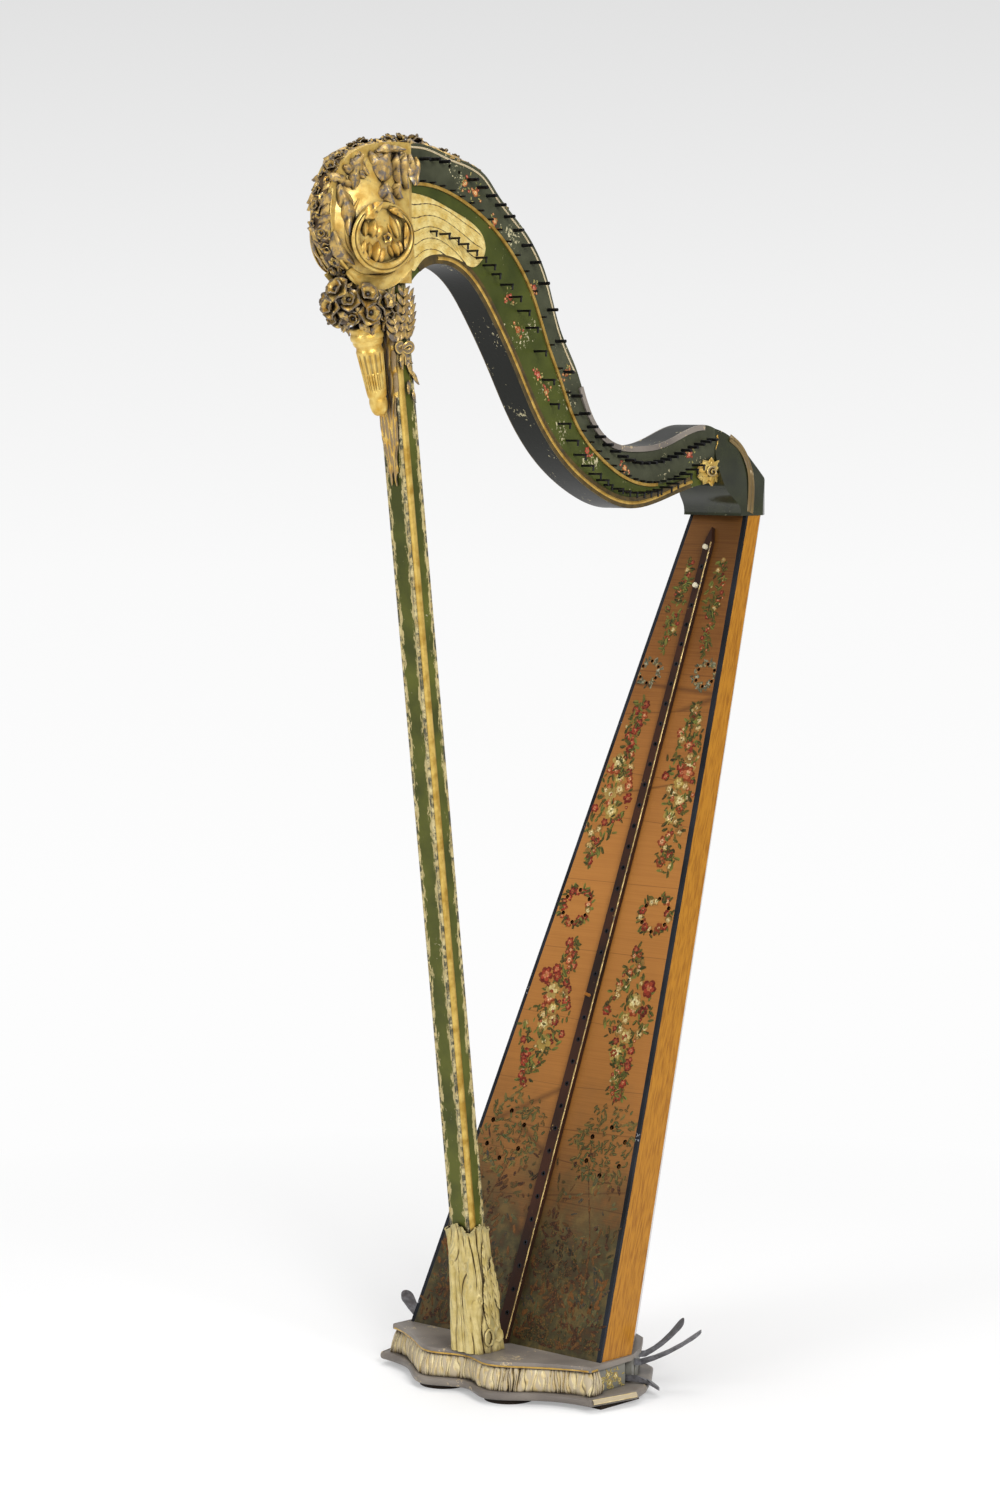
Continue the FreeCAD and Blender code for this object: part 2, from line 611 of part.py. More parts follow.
def make_head_parts():
    """Register the scroll head and what is carved on it."""
    shaped("head_scroll", HEAD_SOLID[0])
    shaped("volutes", Part.makeCompound([make_volute(side) for side in (-1, 1)]))
    half = size("crest_thick") / 2
    rim = ribbon(HEAD_RIM, 0.2, size("crest_rise"), -half, half, 0.2, 1.0, 18)
    spine = ribbon(EXTRADOS, 0.2, size("crest_rise"), -half, half, 0.0, 0.42, 14)
    crest = rim.fuse(spine)
    shaped("flower_crest", crest.cut([slab(neck_face(), -half, half), HEAD_SOLID[0]]))

    def rosette(y_low, y_high):
        x, z = size("rosette_x"), size("rosette_level")
        return rod((x, y_low, z), (x, y_high, z), size("rosette_dia"))

    keep_out, reach = size("hook_dia") * 2, 2 * HALF_NECK
    holes = [rod((x, -reach, z), (x, reach, z), keep_out) for x, z in hook_places()]
    disc = both_sides(rosette, HALF_NECK, HALF_NECK + size("rosette_thick"))
    trims = [n.Shape for n in nodes if n.Label in ("intrados_band", "gilt_fillet")]
    limit = Part.makeBox(200, 200, 200, Vector(size("neck_joint_x"), -100, 1100))
    shaped("shoulder_rosettes", disc.cut(holes + trims + [limit]))


def make_shoulder():
    """Elbow block that spreads from the neck's thickness to the width of the soundbox."""
    joint = size("neck_joint_x")
    front_x = board_x(SHOULDER) - 13
    rear_x = box_section(SHOULDER)[-1][0] + 9
    back = [(joint, 1263), (rear_x - 80, 1256), (rear_x - 50, 1239), (rear_x - 28, 1217),
            (rear_x - 13, 1194), (rear_x - 4, 1168), (rear_x, SHOULDER)]
    under = [(front_x, SHOULDER), (front_x - 5, 1160), (front_x - 20, 1177), (joint, 1188)]
    side = slab(profile_face(back, (back[-1], under[0]), under, (under[-1], back[0])), -80, 80)
    half_top, half_foot = HALF_NECK, size("board_half_top") + 1
    flank = [(half_top, 1290), (half_top, 1240), (half_top + 3, 1222), (half_foot - 9, 1180),
             (half_foot - 1, 1157), (half_foot, SHOULDER - 1)]
    curve = Part.BSplineCurve()
    curve.interpolate([Vector(0, -y, z) for y, z in flank])
    mirror = Part.BSplineCurve()
    mirror.interpolate([Vector(0, y, z) for y, z in reversed(flank)])
    wire = Part.Wire([curve.toShape(), Part.makeLine(Vector(0, -half_foot, SHOULDER - 1),
                                                     Vector(0, half_foot, SHOULDER - 1)),
                      mirror.toShape(), Part.makeLine(Vector(0, half_top, 1290), Vector(0, -half_top, 1290))])
    front = Part.Face(wire).extrude(Vector(300, 0, 0))
    front.translate(Vector(300, 0, 0))
    plan = mirrored([(joint, -80), (front_x + 3, -half_foot), (board_x(SHOULDER) + 35, -half_foot),
                     (rear_x - 14, -half_foot + 14), (rear_x, -half_foot + 36)])
    top = prism([(x, y, SHOULDER) for x, y in plan], (0, 0, 150))
    shaped("shoulder_block", side.common(front).common(top))


# ------------------------------------------------------------------------------ pins and hooks
def tuning_places():
    """Where each tuning pin's bore meets the left cheek."""
    return [(x, level_at(TUNING_ROW, x)) for x in STRING_X]


def nut_places():
    """Where each nut pin stands, just above the gilt fillet."""
    gap = size("fillet_width") / 2 + size("nut_dia") / 2 + 0.4
    places = []
    for x in STRING_X:
        if x < GILT_FILLET[-1][0] - 8:
            z = level_at(GILT_FILLET, x)
            rise = level_at(GILT_FILLET, x + 1) - z
            reach = gap / math.hypot(1, rise)
            places.append((x - rise * reach, z + reach))
    return places


def hook_places():
    """Where each hook's shank leaves the left cheek."""
    first = size("first_pin_x")
    places = [first + 14 + (x - first) * HOOK_X_SHIFT for x in STRING_X]
    return [(x, level_at(HOOK_ROW, x)) for x in places if x < HOOK_ROW[-1][0] - 6]


def make_pins():
    """Tuning pins through the neck, with square key ends on the right, and the nut pins."""
    pins = []
    for i, (x, z) in enumerate(tuning_places()):
        if i in EMPTY_PINS:
            continue
        shank = rod((x, -HALF_NECK - size("pin_stand"), z), (x, HALF_NECK + 1, z), size("pin_dia"))
        side = size("pin_key_side")
        key = Part.makeBox(side, size("pin_key_stand"), side, Vector(x - side / 2, HALF_NECK, z - side / 2))
        pins.append(shank.fuse(key))
    shaped("tuning_pins", Part.makeCompound(pins))
    nuts = [rod((x, -HALF_NECK - size("nut_stand"), z), (x, size("nut_depth") - HALF_NECK, z),
                size("nut_dia")) for x, z in nut_places()]
    shaped("nut_pins", Part.makeCompound(nuts))


def hook(x, z):
    """One hook: a shank through the cheek, a bent end outside and a collar in the channel."""
    face = -HALF_NECK
    shank = rod((x, face - size("hook_stand"), z), (x, size("hook_tail"), z), size("hook_dia"))
    elbow = (x, face - size("hook_stand") + size("hook_dia") / 2, z)
    leg = rod(elbow, (x, elbow[1], z - size("hook_leg")), size("hook_dia") * 0.9)
    collar_y = face + size("cheek") + size("collar_gap")
    collar = rod((x, collar_y, z), (x, collar_y + size("collar_thick"), z), size("hook_collar"))
    return shank.fuse([leg, collar])


def make_hooks():
    """Seven sets of hooks, one for each pedal; the set of a pedal that rests low is drawn in."""
    places = hook_places()
    for order, pedal in enumerate(PEDALS):
        own = Part.makeCompound([hook(x, z) for x, z in places[order::len(PEDALS)]])
        if pedal.rests_low:
            own.translate(Vector(0, size("hook_travel"), 0))
        shaped(f"hooks_{pedal.note}", own)


# ------------------------------------------------------------------------------ pedals and rods
class Pedal:
    """One pedal lever with its pivot, slot, rod and path through the base."""

    def __init__(self, note, exit_point, tip, exit_level, rod_turn, staggered):
        self.note = note
        self.exit, self.tip = Vector(*exit_point, exit_level), Vector(*tip)
        ring = size("rod_ring")
        foot = column_point(size("pivot_level"))
        turn = math.radians(rod_turn)
        self.rod_foot = Vector(foot.x + ring * math.cos(turn), foot.y + ring * math.sin(turn), 0)
        line = Vector(self.exit.x - self.rod_foot.x, self.exit.y - self.rod_foot.y, 0)
        self.length = line.Length
        self.along = line.normalize()
        self.reach = size("pedal_reach") + (size("pedal_stagger") if staggered else 0)
        self.pivot = self.rod_foot + self.along * self.reach + UP * size("pivot_level")
        self.across = UP.cross(self.along)
        self.rests_low = exit_level < size("pivot_level")
        self.rise = (exit_level - size("pivot_level")) / (self.length - self.reach)

    def centre(self, distance):
        """Centre of the straight blade at a distance from the rod."""
        level = size("pivot_level") + self.rise * (distance - self.reach)
        return Vector(self.rod_foot.x, self.rod_foot.y, level) + self.along * distance

    def bar(self, start, end, half_width, height):
        """Four-sided bar on edge between two centre points."""
        ends = []
        for point in (start, end):
            side = self.across * half_width
            low, high = point - UP * height / 2, point + UP * height / 2
            ends.append([tuple(low - side), tuple(low + side), tuple(high + side), tuple(high - side)])
        return ruled(*ends)

    def lever(self):
        """Blade on edge inside the base, curving up outside into a flat paddle."""
        half, height = size("blade_thick") / 2, size("blade_height")
        inner = self.centre(-size("rod_dia"))
        outer = self.centre(self.length + size("casing_wall"))
        blade = self.bar(inner, outer, half, height)
        paddle = self.paddle(*self.outer_curve(outer))
        eye = rod(self.pivot - self.across * 2 * half, self.pivot + self.across * 2 * half,
                  size("pivot_dia") + 2 * size("running_fit"))
        return blade.fuse(paddle).removeSplitter().cut(eye)

    def outer_curve(self, start):
        """Centre points of the part outside the casing, from the blade to the middle of the toe plate."""
        reach = self.tip - start
        ending = Vector(reach.x, reach.y, reach.z * 1.45).normalize()
        reach = reach - ending * size("paddle_width") / 2
        points = []
        for t in (0.0, 0.25, 0.5, 0.75, 1.0):
            rise = reach.z * (0.55 * t + 0.45 * t * t)
            points.append(Vector(start.x + reach.x * t, start.y + reach.y * t, start.z + rise))
        return points, ending

    def paddle(self, curve, ending):
        """Flat iron that widens along the curve and ends in a round toe plate."""
        sections = []
        wide, thin = size("paddle_width"), size("paddle_thick")
        widths = (size("blade_thick"), wide * 0.3, wide * 0.55, wide * 0.8, wide)
        heights = (size("blade_height"), thin * 1.6, thin * 1.25, thin, thin)
        across = UP.cross(Vector(ending.x, ending.y, 0).normalize())
        for i, (point, width, height) in enumerate(zip(curve, widths, heights)):
            side = across * width / 2 if i else self.across * width / 2
            low, high = point - UP * height / 2, point + UP * height / 2
            sections.append(polygon([tuple(low - side), tuple(low + side), tuple(high + side),
                                     tuple(high - side)]))
        edge = Part.makeCircle(wide / 2, curve[-1] - UP * thin / 2, ending.cross(across))
        toe = Part.Face(Part.Wire(edge)).extrude(UP * thin)
        return Part.makeLoft(sections, True, True).fuse(toe)

    def slot(self):
        """Upright slot through the casing where the blade passes, wide at the lever that is held down."""
        half = size("blade_thick") / 2 + (size("latch_room") if self.rests_low else size("slot_clear"))
        through = 3 * size("casing_wall")
        start = self.rod_foot + self.along * (self.length - through)
        end = self.rod_foot + self.along * (self.length + through)
        side = self.across * half
        corners = [start - side, start + side, end + side, end - side]
        return prism([(p.x, p.y, PLINTH_TOP) for p in corners],
                     (0, 0, size("rim_height") - size("slot_bridge")))

    def reach_at(self, x):
        """Distance from the mid-plane that the lever, its bracket and its spring need at a given X."""
        run = (x - self.rod_foot.x) / self.along.x
        beside = self.half_bracket() + size("spring_wire") + 4 * size("slot_clear")
        return abs(self.rod_foot.y + run * self.along.y) + beside / self.along.x

    def bracket(self):
        """Pair of cheeks on the plinth, either side of the blade, drilled for the pivot pin."""
        gap, half = size("blade_thick") / 2 + size("pivot_gap"), size("bracket_half")
        base = self.pivot - UP * (size("pivot_level") - PLINTH_TOP)
        plates = []
        for side in (-1, 1):
            inner, outer = self.across * (side * gap), self.across * (side * self.half_bracket())
            ends = [base + inner - self.along * half, base + inner + self.along * half,
                    base + outer + self.along * half, base + outer - self.along * half]
            plates.append(prism([tuple(p) for p in ends],
                                (0, 0, size("pivot_level") + half - PLINTH_TOP)))
        return [plate.cut(self.pin()) for plate in plates]

    def half_bracket(self):
        """Distance from the blade's middle to the outer face of each cheek."""
        return size("blade_thick") / 2 + size("pivot_gap") + size("pivot_cheek")

    def pin(self):
        """Pivot pin through both cheeks."""
        side = self.across * self.half_bracket()
        return rod(self.pivot - side, self.pivot + side, size("pivot_dia"))

    def spring(self):
        """Return spring beside the lever: a coil round the pin's end and a leg to the plinth."""
        wire = size("spring_wire")
        centre = self.pivot + self.across * self.half_bracket()
        outer, inner = size("pivot_dia") / 2 + 2 * wire, size("pivot_dia") / 2
        coil = rod(centre, centre + self.across * wire, 2 * outer)
        coil = coil.cut(rod(centre - self.across, centre + self.across * 2 * wire, 2 * inner))
        heel = centre + self.across * wire / 2 - self.along * (outer - wire / 2)
        leg = rod(tuple(heel), (heel.x, heel.y, PLINTH_TOP), wire)
        return coil.fuse(leg)

    def draw_rod(self):
        """Iron rod up the column, standing on the lever's inner end."""
        foot = self.centre(0).z + size("blade_height") / 2 + size("rod_rest_gap")
        axis = column_point(COLUMN_TOP) - column_point(DECK_TOP)
        start = Vector(self.rod_foot.x - (foot - size("pivot_level")) * LEAN, self.rod_foot.y, foot)
        end = start + axis * ((COLUMN_TOP + size("rod_stand") - foot) / axis.z)
        return rod(start, end, size("rod_dia"))


PEDALS = [
    Pedal("d", (60, -170), (88, -197, 10), 25, -100, True),
    Pedal("c", (83, -158), (133, -231, 84), 40, -66, False),
    Pedal("b", (119, -135), (168, -172, 84), 40, -33, False),
    Pedal("e", (176, 42), (228, 56, 84), 40, 0, False),
    Pedal("f", (119, 135), (168, 172, 84), 40, 33, False),
    Pedal("g", (83, 158), (133, 231, 84), 40, 66, False),
    Pedal("a", (38, 171), (52, 232, 78), 40, 100, True),
]


def rod_lift():
    """Furthest that any rod rises when its pedal is pressed."""
    reach = size("pedal_reach") + size("pedal_stagger")
    return reach * math.tan(math.radians(size("pedal_swing")))


def make_action():
    """Levers, brackets, pins, springs and rods."""
    for pedal in PEDALS:
        shaped(f"pedal_{pedal.note}", pedal.lever())
        shaped(f"rod_{pedal.note}", pedal.draw_rod())
    shaped("pedal_brackets", Part.makeCompound([p for pedal in PEDALS for p in pedal.bracket()]))
    shaped("pivot_pins", Part.makeCompound([pedal.pin() for pedal in PEDALS]))
    shaped("pedal_springs", Part.makeCompound([pedal.spring() for pedal in PEDALS]))


# ------------------------------------------------------------------------------ build, check and write
HEAD_SOLID = [make_head()]
make_base()
make_column()
make_soundbox()
make_neck()
make_shoulder()
make_head_parts()
make_pins()
make_hooks()
make_action()
doc.recompute()

for item in doc.Objects:
    if {"Invalid", "Error"} & set(item.State):
        raise RuntimeError(f"{item.Label} failed to build")
for node in nodes:
    if node.Shape.isNull() or not node.Shape.isValid() or not node.Shape.Solids:
        raise RuntimeError(f"{node.Label} has no valid solid")
for node in nodes:
    node.Shape.exportStep(f"parts/{node.Label}.step")
    print(f"{node.Label:18s} solids {len(node.Shape.Solids):3d}  volume {node.Shape.Volume / 1000:9.2f} cm3")
print(len(nodes), "nodes")
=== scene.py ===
"""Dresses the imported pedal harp: carved gilding, painted wood, varnish, iron and painted flowers."""
import logging
import math
from collections.abc import Callable, Sequence
from dataclasses import dataclass
from enum import Enum
from typing import NamedTuple

import bpy
import numpy as np
from mathutils import Matrix, Vector


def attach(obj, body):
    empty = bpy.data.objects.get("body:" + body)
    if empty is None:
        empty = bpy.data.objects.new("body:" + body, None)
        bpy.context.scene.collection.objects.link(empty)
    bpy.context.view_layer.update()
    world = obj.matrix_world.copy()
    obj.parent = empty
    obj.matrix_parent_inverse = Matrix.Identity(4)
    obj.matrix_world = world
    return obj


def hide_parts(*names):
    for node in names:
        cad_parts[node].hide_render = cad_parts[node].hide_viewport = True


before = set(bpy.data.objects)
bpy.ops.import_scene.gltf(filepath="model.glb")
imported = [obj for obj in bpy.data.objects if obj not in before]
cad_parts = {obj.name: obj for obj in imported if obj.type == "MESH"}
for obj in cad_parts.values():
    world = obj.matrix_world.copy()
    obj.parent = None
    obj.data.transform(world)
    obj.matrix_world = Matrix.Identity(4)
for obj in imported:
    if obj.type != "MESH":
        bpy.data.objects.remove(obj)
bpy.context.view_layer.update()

log = logging.getLogger("harp")
# One millimetre, in metres.
MM = 0.001
# The soundboard leans back by 22.1 degrees and the column forward by 6.8.
SLOPE = math.radians(22.1)
OFF_BOARD = (-math.cos(SLOPE), 0.0, math.sin(SLOPE))
LEAN = math.tan(math.radians(6.815))
COLUMN_FOOT, DECK_TOP, SHOULDER = -49.1, 56.0, 1143.0
# The part of the X-Z plane that the neck's paint is laid out in, in metres.
NECK_SPAN_X, NECK_SPAN_Z = (-0.22, 0.58), (1.10, 1.70)
# Six holes stand evenly round each rose.
HOLE_TURN = math.pi / 3
# The range of a turn that is left to chance, in radians.
FULL_TURN = 6.28
# Points closer than this are one, in metres.
WELD_REACH = 0.00002
# The ends of a ramp that is read as a share.
WHITE, NONE = "#ffffff", "#000000"

Floats = np.ndarray
Colour = tuple[float, float, float, float]
Socket = bpy.types.NodeSocket


# ------------------------------------------------------------------------------ small tools
def linear(code: str) -> Colour:
    """Linear RGBA of an sRGB colour written as six hex digits."""
    parts = [int(code[i:i + 2], 16) / 255 for i in (1, 3, 5)]
    return (*[c / 12.92 if c <= 0.04045 else ((c + 0.055) / 1.055) ** 2.4 for c in parts], 1.0)


class Graph:
    """One node tree, with short ways to add the nodes that the finishes share."""

    def __init__(self, tree: bpy.types.NodeTree) -> None:
        """Keep the tree and give it its coordinates."""
        self.tree = tree
        self.coords = self.add("TexCoord").outputs
        self.place = self.coords["Object"]

    def feed(self, node: bpy.types.Node | str, inputs: dict) -> bpy.types.Node:
        """Set a node's inputs.

        Args:
            node: the node, or the name of one that the tree already has.
            inputs: sockets to link from, hex colours or values, by the input's name or number.

        Returns:
            The node.
        """
        node = self.tree.nodes[node] if isinstance(node, str) else node
        for key, value in inputs.items():
            if isinstance(value, bpy.types.NodeSocket):
                self.tree.links.new(value, node.inputs[key])
            else:
                node.inputs[key].default_value = linear(value) if isinstance(value, str) else value
        return node

    def shade(self, inputs: dict) -> bpy.types.Node:
        """Set the inputs of the material's own shader."""
        return self.feed("Principled BSDF", inputs)

    def add(self, kind: str, inputs: dict | None = None, **settings: object) -> bpy.types.Node:
        """Add one shader node.

        Args:
            kind: the node's type name after "ShaderNode".
            inputs: as for feed.
            settings: properties of the node.

        Returns:
            The new node.
        """
        node = self.tree.nodes.new(f"ShaderNode{kind}")
        for name, value in settings.items():
            setattr(node, name, value)
        return self.feed(node, inputs or {})

    def noise(self, scale: float, detail: float, rough: float = 0.5, over: Socket | None = None) -> Socket:
        """Cloudy noise over the piece's own coordinates in metres, or over others."""
        return self.add("TexNoise", {"Vector": self.place if over is None else over, "Scale": scale,
                                     "Detail": detail, "Roughness": rough}).outputs["Fac"]

    def ramp(self, share: Socket, *stops: tuple[float, str]) -> Socket:
        """A colour read off a ramp of places and hex colours."""
        node = self.add("ValToRGB", {"Fac": share})
        elements = node.color_ramp.elements
        for i, (place, code) in enumerate(stops):
            element = elements[i] if i < 2 else elements.new(place)
            element.position, element.color = place, linear(code)
        return node.outputs["Color"]

    def curve(self, value: Socket, points: Sequence[tuple[float, float]]) -> Socket:
        """A value read off a curve through points, both ways from 0 to 1."""
        node = self.add("FloatCurve", {"Value": value})
        curve = node.mapping.curves[0]
        curve.points[0].location, curve.points[1].location = points[0], points[-1]
        for x, y in points[1:-1]:
            curve.points.new(x, y)
        node.mapping.update()
        return node.outputs[0]

    def remap(self, value: Socket, low: float = 0.0, high: float = 1.0, to_low: float = 0.0,
              to_high: float = 1.0) -> Socket:
        """A value carried from one range to another and held inside it."""
        return self.add("MapRange", {0: value, 1: low, 2: high, 3: to_low, 4: to_high}).outputs[0]

    def mix(self, share: Socket | float, first: Socket, second: Socket | str) -> Socket:
        """The first colour, turned to the second by a share."""
        return self.add("Mix", {0: share, 6: first, 7: second}, data_type="RGBA").outputs[2]

    def calc(self, operation: str, *values: Socket | float) -> Socket:
        """The result of one operation on values."""
        return self.add("Math", dict(enumerate(values)), operation=operation).outputs[0]

    def bump(self, height: Socket, strength: float, distance: float) -> Socket:
        """Normals raised by a height, over a distance in metres."""
        return self.add("Bump", {"Height": height, "Strength": strength,
                                 "Distance": distance}).outputs[0]

    def open_air(self, distance: float) -> Socket:
        """How open a spot is within a distance in metres, from 0 in a cut to 1 on a flat."""
        return self.add("AmbientOcclusion", {"Distance": distance}, samples=8).outputs["AO"]

    def mapped(self, vector: Socket, **inputs: Sequence[float]) -> Socket:
        """A vector moved, turned or scaled."""
        return self.add("Mapping", {"Vector": vector, **inputs}).outputs[0]

    def parts(self, vector: Socket) -> tuple[Socket, Socket, Socket]:
        """A vector's X, Y and Z."""
        return tuple(self.add("SeparateXYZ", {0: vector}).outputs)

    def attribute(self, name: str) -> bpy.types.bpy_prop_collection:
        """The outputs of one of the mesh's own attributes."""
        return self.add("Attribute", attribute_name=name).outputs


class Slot(Enum):
    """The record's material slots."""

    GREEN = "green_paint"
    GILDING = "gilding"
    PALE_GILDING = "pale_gilding"
    GREY = "grey_paint"
    BOARD = "soundboard_varnish"
    EDGING = "black_edging"


# ------------------------------------------------------------------------------ curves
class Curve:
    """A smooth curve through points: a natural cubic spline by chord length, from 0 to 1."""

    def __init__(self, points: Sequence[Sequence[float]]) -> None:
        """Work out the spline's second derivatives at its points."""
        self.points = np.array(points, float)
        chord = np.linalg.norm(np.diff(self.points, axis=0), axis=1)
        self.knots = np.concatenate([[0.0], np.cumsum(chord)]) / chord.sum()
        self.span = float(chord.sum())
        n, h = len(self.points), np.diff(self.knots)
        rows, right = np.eye(n), np.zeros_like(self.points)
        for i in range(1, n - 1):
            rows[i, i - 1:i + 2] = h[i - 1], 2 * (h[i - 1] + h[i]), h[i]
            right[i] = 6 * ((self.points[i + 1] - self.points[i]) / h[i]
                            - (self.points[i] - self.points[i - 1]) / h[i - 1])
        self.bend = np.linalg.solve(rows, right)

    def _pieces(self, t: Floats) -> tuple[Floats, Floats, Floats, Floats]:
        """Piece number, its width, and the shares of its two ends at each parameter."""
        i = np.clip(np.searchsorted(self.knots, t, side="right") - 1, 0, len(self.knots) - 2)
        h = (self.knots[i + 1] - self.knots[i])[:, None]
        b = ((t - self.knots[i])[:, None]) / h
        return i, h, 1 - b, b

    def at(self, t: Sequence[float] | Floats) -> Floats:
        """Points of the curve at parameters from 0 to 1."""
        i, h, a, b = self._pieces(np.clip(np.asarray(t, float), 0, 1))
        return (a * self.points[i] + b * self.points[i + 1]
                + ((a ** 3 - a) * self.bend[i] + (b ** 3 - b) * self.bend[i + 1]) * h ** 2 / 6)

    def along(self, t: Sequence[float] | Floats) -> Floats:
        """Unit directions of the curve at parameters from 0 to 1."""
        t = np.clip(np.asarray(t, float), 0.0005, 0.9995)
        step = self.at(t + 0.0005) - self.at(t - 0.0005)
        return step / np.linalg.norm(step, axis=1)[:, None]


@dataclass(frozen=True)
class Path:
    """A line on a surface, with the surface's outward direction, that a carving follows."""

    points: Sequence[Sequence[float]]
    outward: Sequence[Sequence[float]]

    def place(self, t: Floats, across: Floats, up: Floats) -> Floats:
        """Points beside and above the line, in millimetres.

        Args:
            t: how far along the line, from 0 to 1.
            across: distance to the side.
            up: distance off the surface.

        Returns:
            One row of X, Y and Z for each value.
        """
        line = Curve(self.points)
        forward = line.along(t)
        normals = np.array(self.outward, float)
        if len(normals) == 1:
            normal = np.repeat(normals, len(t), axis=0)
        else:
            knots = np.linspace(0, 1, len(normals))
            normal = np.stack([np.interp(t, knots, normals[:, k]) for k in range(3)], axis=1)
        side = np.cross(forward, normal)
        side /= np.linalg.norm(side, axis=1)[:, None]
        normal = np.cross(side, forward)
        past = (np.asarray(t) - np.clip(t, 0, 1))[:, None] * line.span
        return line.at(t) + forward * past + side * across[:, None] + normal * up[:, None]


# ------------------------------------------------------------------------------ modelling
def deselect() -> None:
    """Clear the selection, so that the next operator acts on the new piece alone."""
    bpy.ops.object.select_all(action="DESELECT")


def active(piece: bpy.types.Object) -> None:
    """Make one piece the selected and active one."""
    deselect()
    piece.select_set(True)
    bpy.context.view_layer.objects.active = piece


def settle(piece: bpy.types.Object) -> bpy.types.Object:
    """Move a piece's place, turn and size into its mesh."""
    active(piece)
    bpy.ops.object.transform_apply(location=True, rotation=True, scale=True)
    return piece


def modify(piece: bpy.types.Object, kind: str, **settings: object) -> bpy.types.Object:
    """Add one modifier to a piece and apply it."""
    active(piece)
    modifier = piece.modifiers.new(kind.title(), kind)
    for name, value in settings.items():
        setattr(modifier, name, value)
    bpy.ops.object.modifier_apply(modifier=modifier.name)
    return piece


def edit(piece: bpy.types.Object, *steps: Callable[[], object]) -> bpy.types.Object:
    """Run operators over the whole of a piece in edit mode."""
    active(piece)
    bpy.ops.object.mode_set(mode="EDIT")
    bpy.ops.mesh.select_all(action="SELECT")
    for step in steps:
        step()
    bpy.ops.object.mode_set(mode="OBJECT")
    return piece


def weld(piece: bpy.types.Object) -> bpy.types.Object:
    """Close a piece's seams and poles, and turn its faces outwards."""
    return edit(piece, lambda: bpy.ops.mesh.remove_doubles(threshold=WELD_REACH),
                lambda: bpy.ops.mesh.normals_make_consistent(inside=False))


def thicken(piece: bpy.types.Object, thick: float, offset: float = -1.0) -> bpy.types.Object:
    """Give a surface a thickness in millimetres, behind its face or, with offset 0, on both sides."""
    return modify(piece, "SOLIDIFY", thickness=thick * MM, offset=offset)


def primitive(kind: str, **settings: object) -> bpy.types.Object:
    """Add one of Blender's primitives, selected alone."""
    deselect()
    getattr(bpy.ops.mesh, f"primitive_{kind}_add")(**settings)
    return bpy.context.object


def points_of(mesh: bpy.types.Mesh) -> Floats:
    """The places of a mesh's vertices, one row each."""
    flat = np.zeros(len(mesh.vertices) * 3)
    mesh.vertices.foreach_get("co", flat)
    return flat.reshape(-1, 3)


def set_relief(mesh: bpy.types.Mesh, values: Floats) -> None:
    """Keep each vertex's relief, from 0 in the cuts to 1 on the crests, for the gilding's painted shade in
    the cuts and wear on the crests.
    """
    attribute = mesh.attributes.new("relief", "FLOAT", "POINT")
    attribute.data.foreach_set("value", np.ascontiguousarray(values, np.float32))


def new_piece(name: str, points: Floats, faces: Sequence[Sequence[int]]) -> bpy.types.Object:
    """A new object from points in metres and faces."""
    mesh = bpy.data.meshes.new(name)
    mesh.from_pydata(points.tolist(), [], faces)
    piece = bpy.data.objects.new(name, mesh)
    bpy.context.scene.collection.objects.link(piece)
    return piece


def smooth(piece: bpy.types.Object, degrees: float = 50) -> bpy.types.Object:
    """Shade a piece smooth, except over edges sharper than an angle."""
    active(piece)
    bpy.ops.object.shade_smooth_by_angle(angle=math.radians(degrees))
    return piece


def carve(name: str, columns: int, rows: int,
          shape: Callable[[Floats, Floats], tuple[Floats, Floats]]) -> bpy.types.Object:
    """Model a piece from a flat grid, moved point by point.

    Args:
        name: the new object's name.
        columns: faces across the grid.
        rows: faces along the grid.
        shape: takes v across from -1 to 1 and u along from 0 to 1, and gives points in
            millimetres and the relief at each, 0 in the cuts and 1 on the crests.

    Returns:
        The piece, with its relief as an attribute.
    """
    piece = primitive("grid", x_subdivisions=columns, y_subdivisions=rows, size=2)
    piece.name = piece.data.name = name
    flat = points_of(piece.data)
    places, relief = shape(flat[:, 0], (flat[:, 1] + 1) / 2)
    piece.data.vertices.foreach_set("co", (places * MM).ravel())
    set_relief(piece.data, relief)
    piece.data.update()
    return piece


def join(name: str, pieces: Sequence[bpy.types.Object]) -> bpy.types.Object:
    """Join several pieces into one object with a name of its own."""
    deselect()
    for piece in pieces:
        piece.select_set(True)
    bpy.context.view_layer.objects.active = pieces[0]
    if len(pieces) > 1:
        bpy.ops.object.join()
    pieces[0].name = pieces[0].data.name = name
    return pieces[0]


def cast(name: str, mould: bpy.types.Object, places: Sequence[Matrix]) -> bpy.types.Object:
    """Copy a modelled piece to many places, as one object.

    Args:
        name: the new object's name.
        mould: the piece to copy, in metres about its own origin.
        places: one placement for each copy.

    Returns:
        The copies as one object. The mould is kept.
    """
    mesh = mould.data
    count = len(mesh.vertices)
    points = np.c_[points_of(mesh), np.ones(count)]
    relief = np.zeros(count, np.float32)
    if "relief" in mesh.attributes:
        mesh.attributes["relief"].data.foreach_get("value", relief)
    faces = [tuple(face.vertices) for face in mesh.polygons]
    all_points, all_faces = [], []
    for i, place in enumerate(places):
        all_points.append(points @ np.array(place).T[:, :3])
        flip = place.determinant() < 0
        for face in faces:
            moved = tuple(corner + i * count for corner in face)
            all_faces.append(moved[::-1] if flip else moved)
    piece = new_piece(name, np.concatenate(all_points), all_faces)
    set_relief(piece.data, np.tile(relief, len(places)))
    return piece


def discard(*pieces: bpy.types.Object) -> None:
    """Remove moulds that have been copied."""
    for piece in pieces:
        bpy.data.meshes.remove(piece.data)


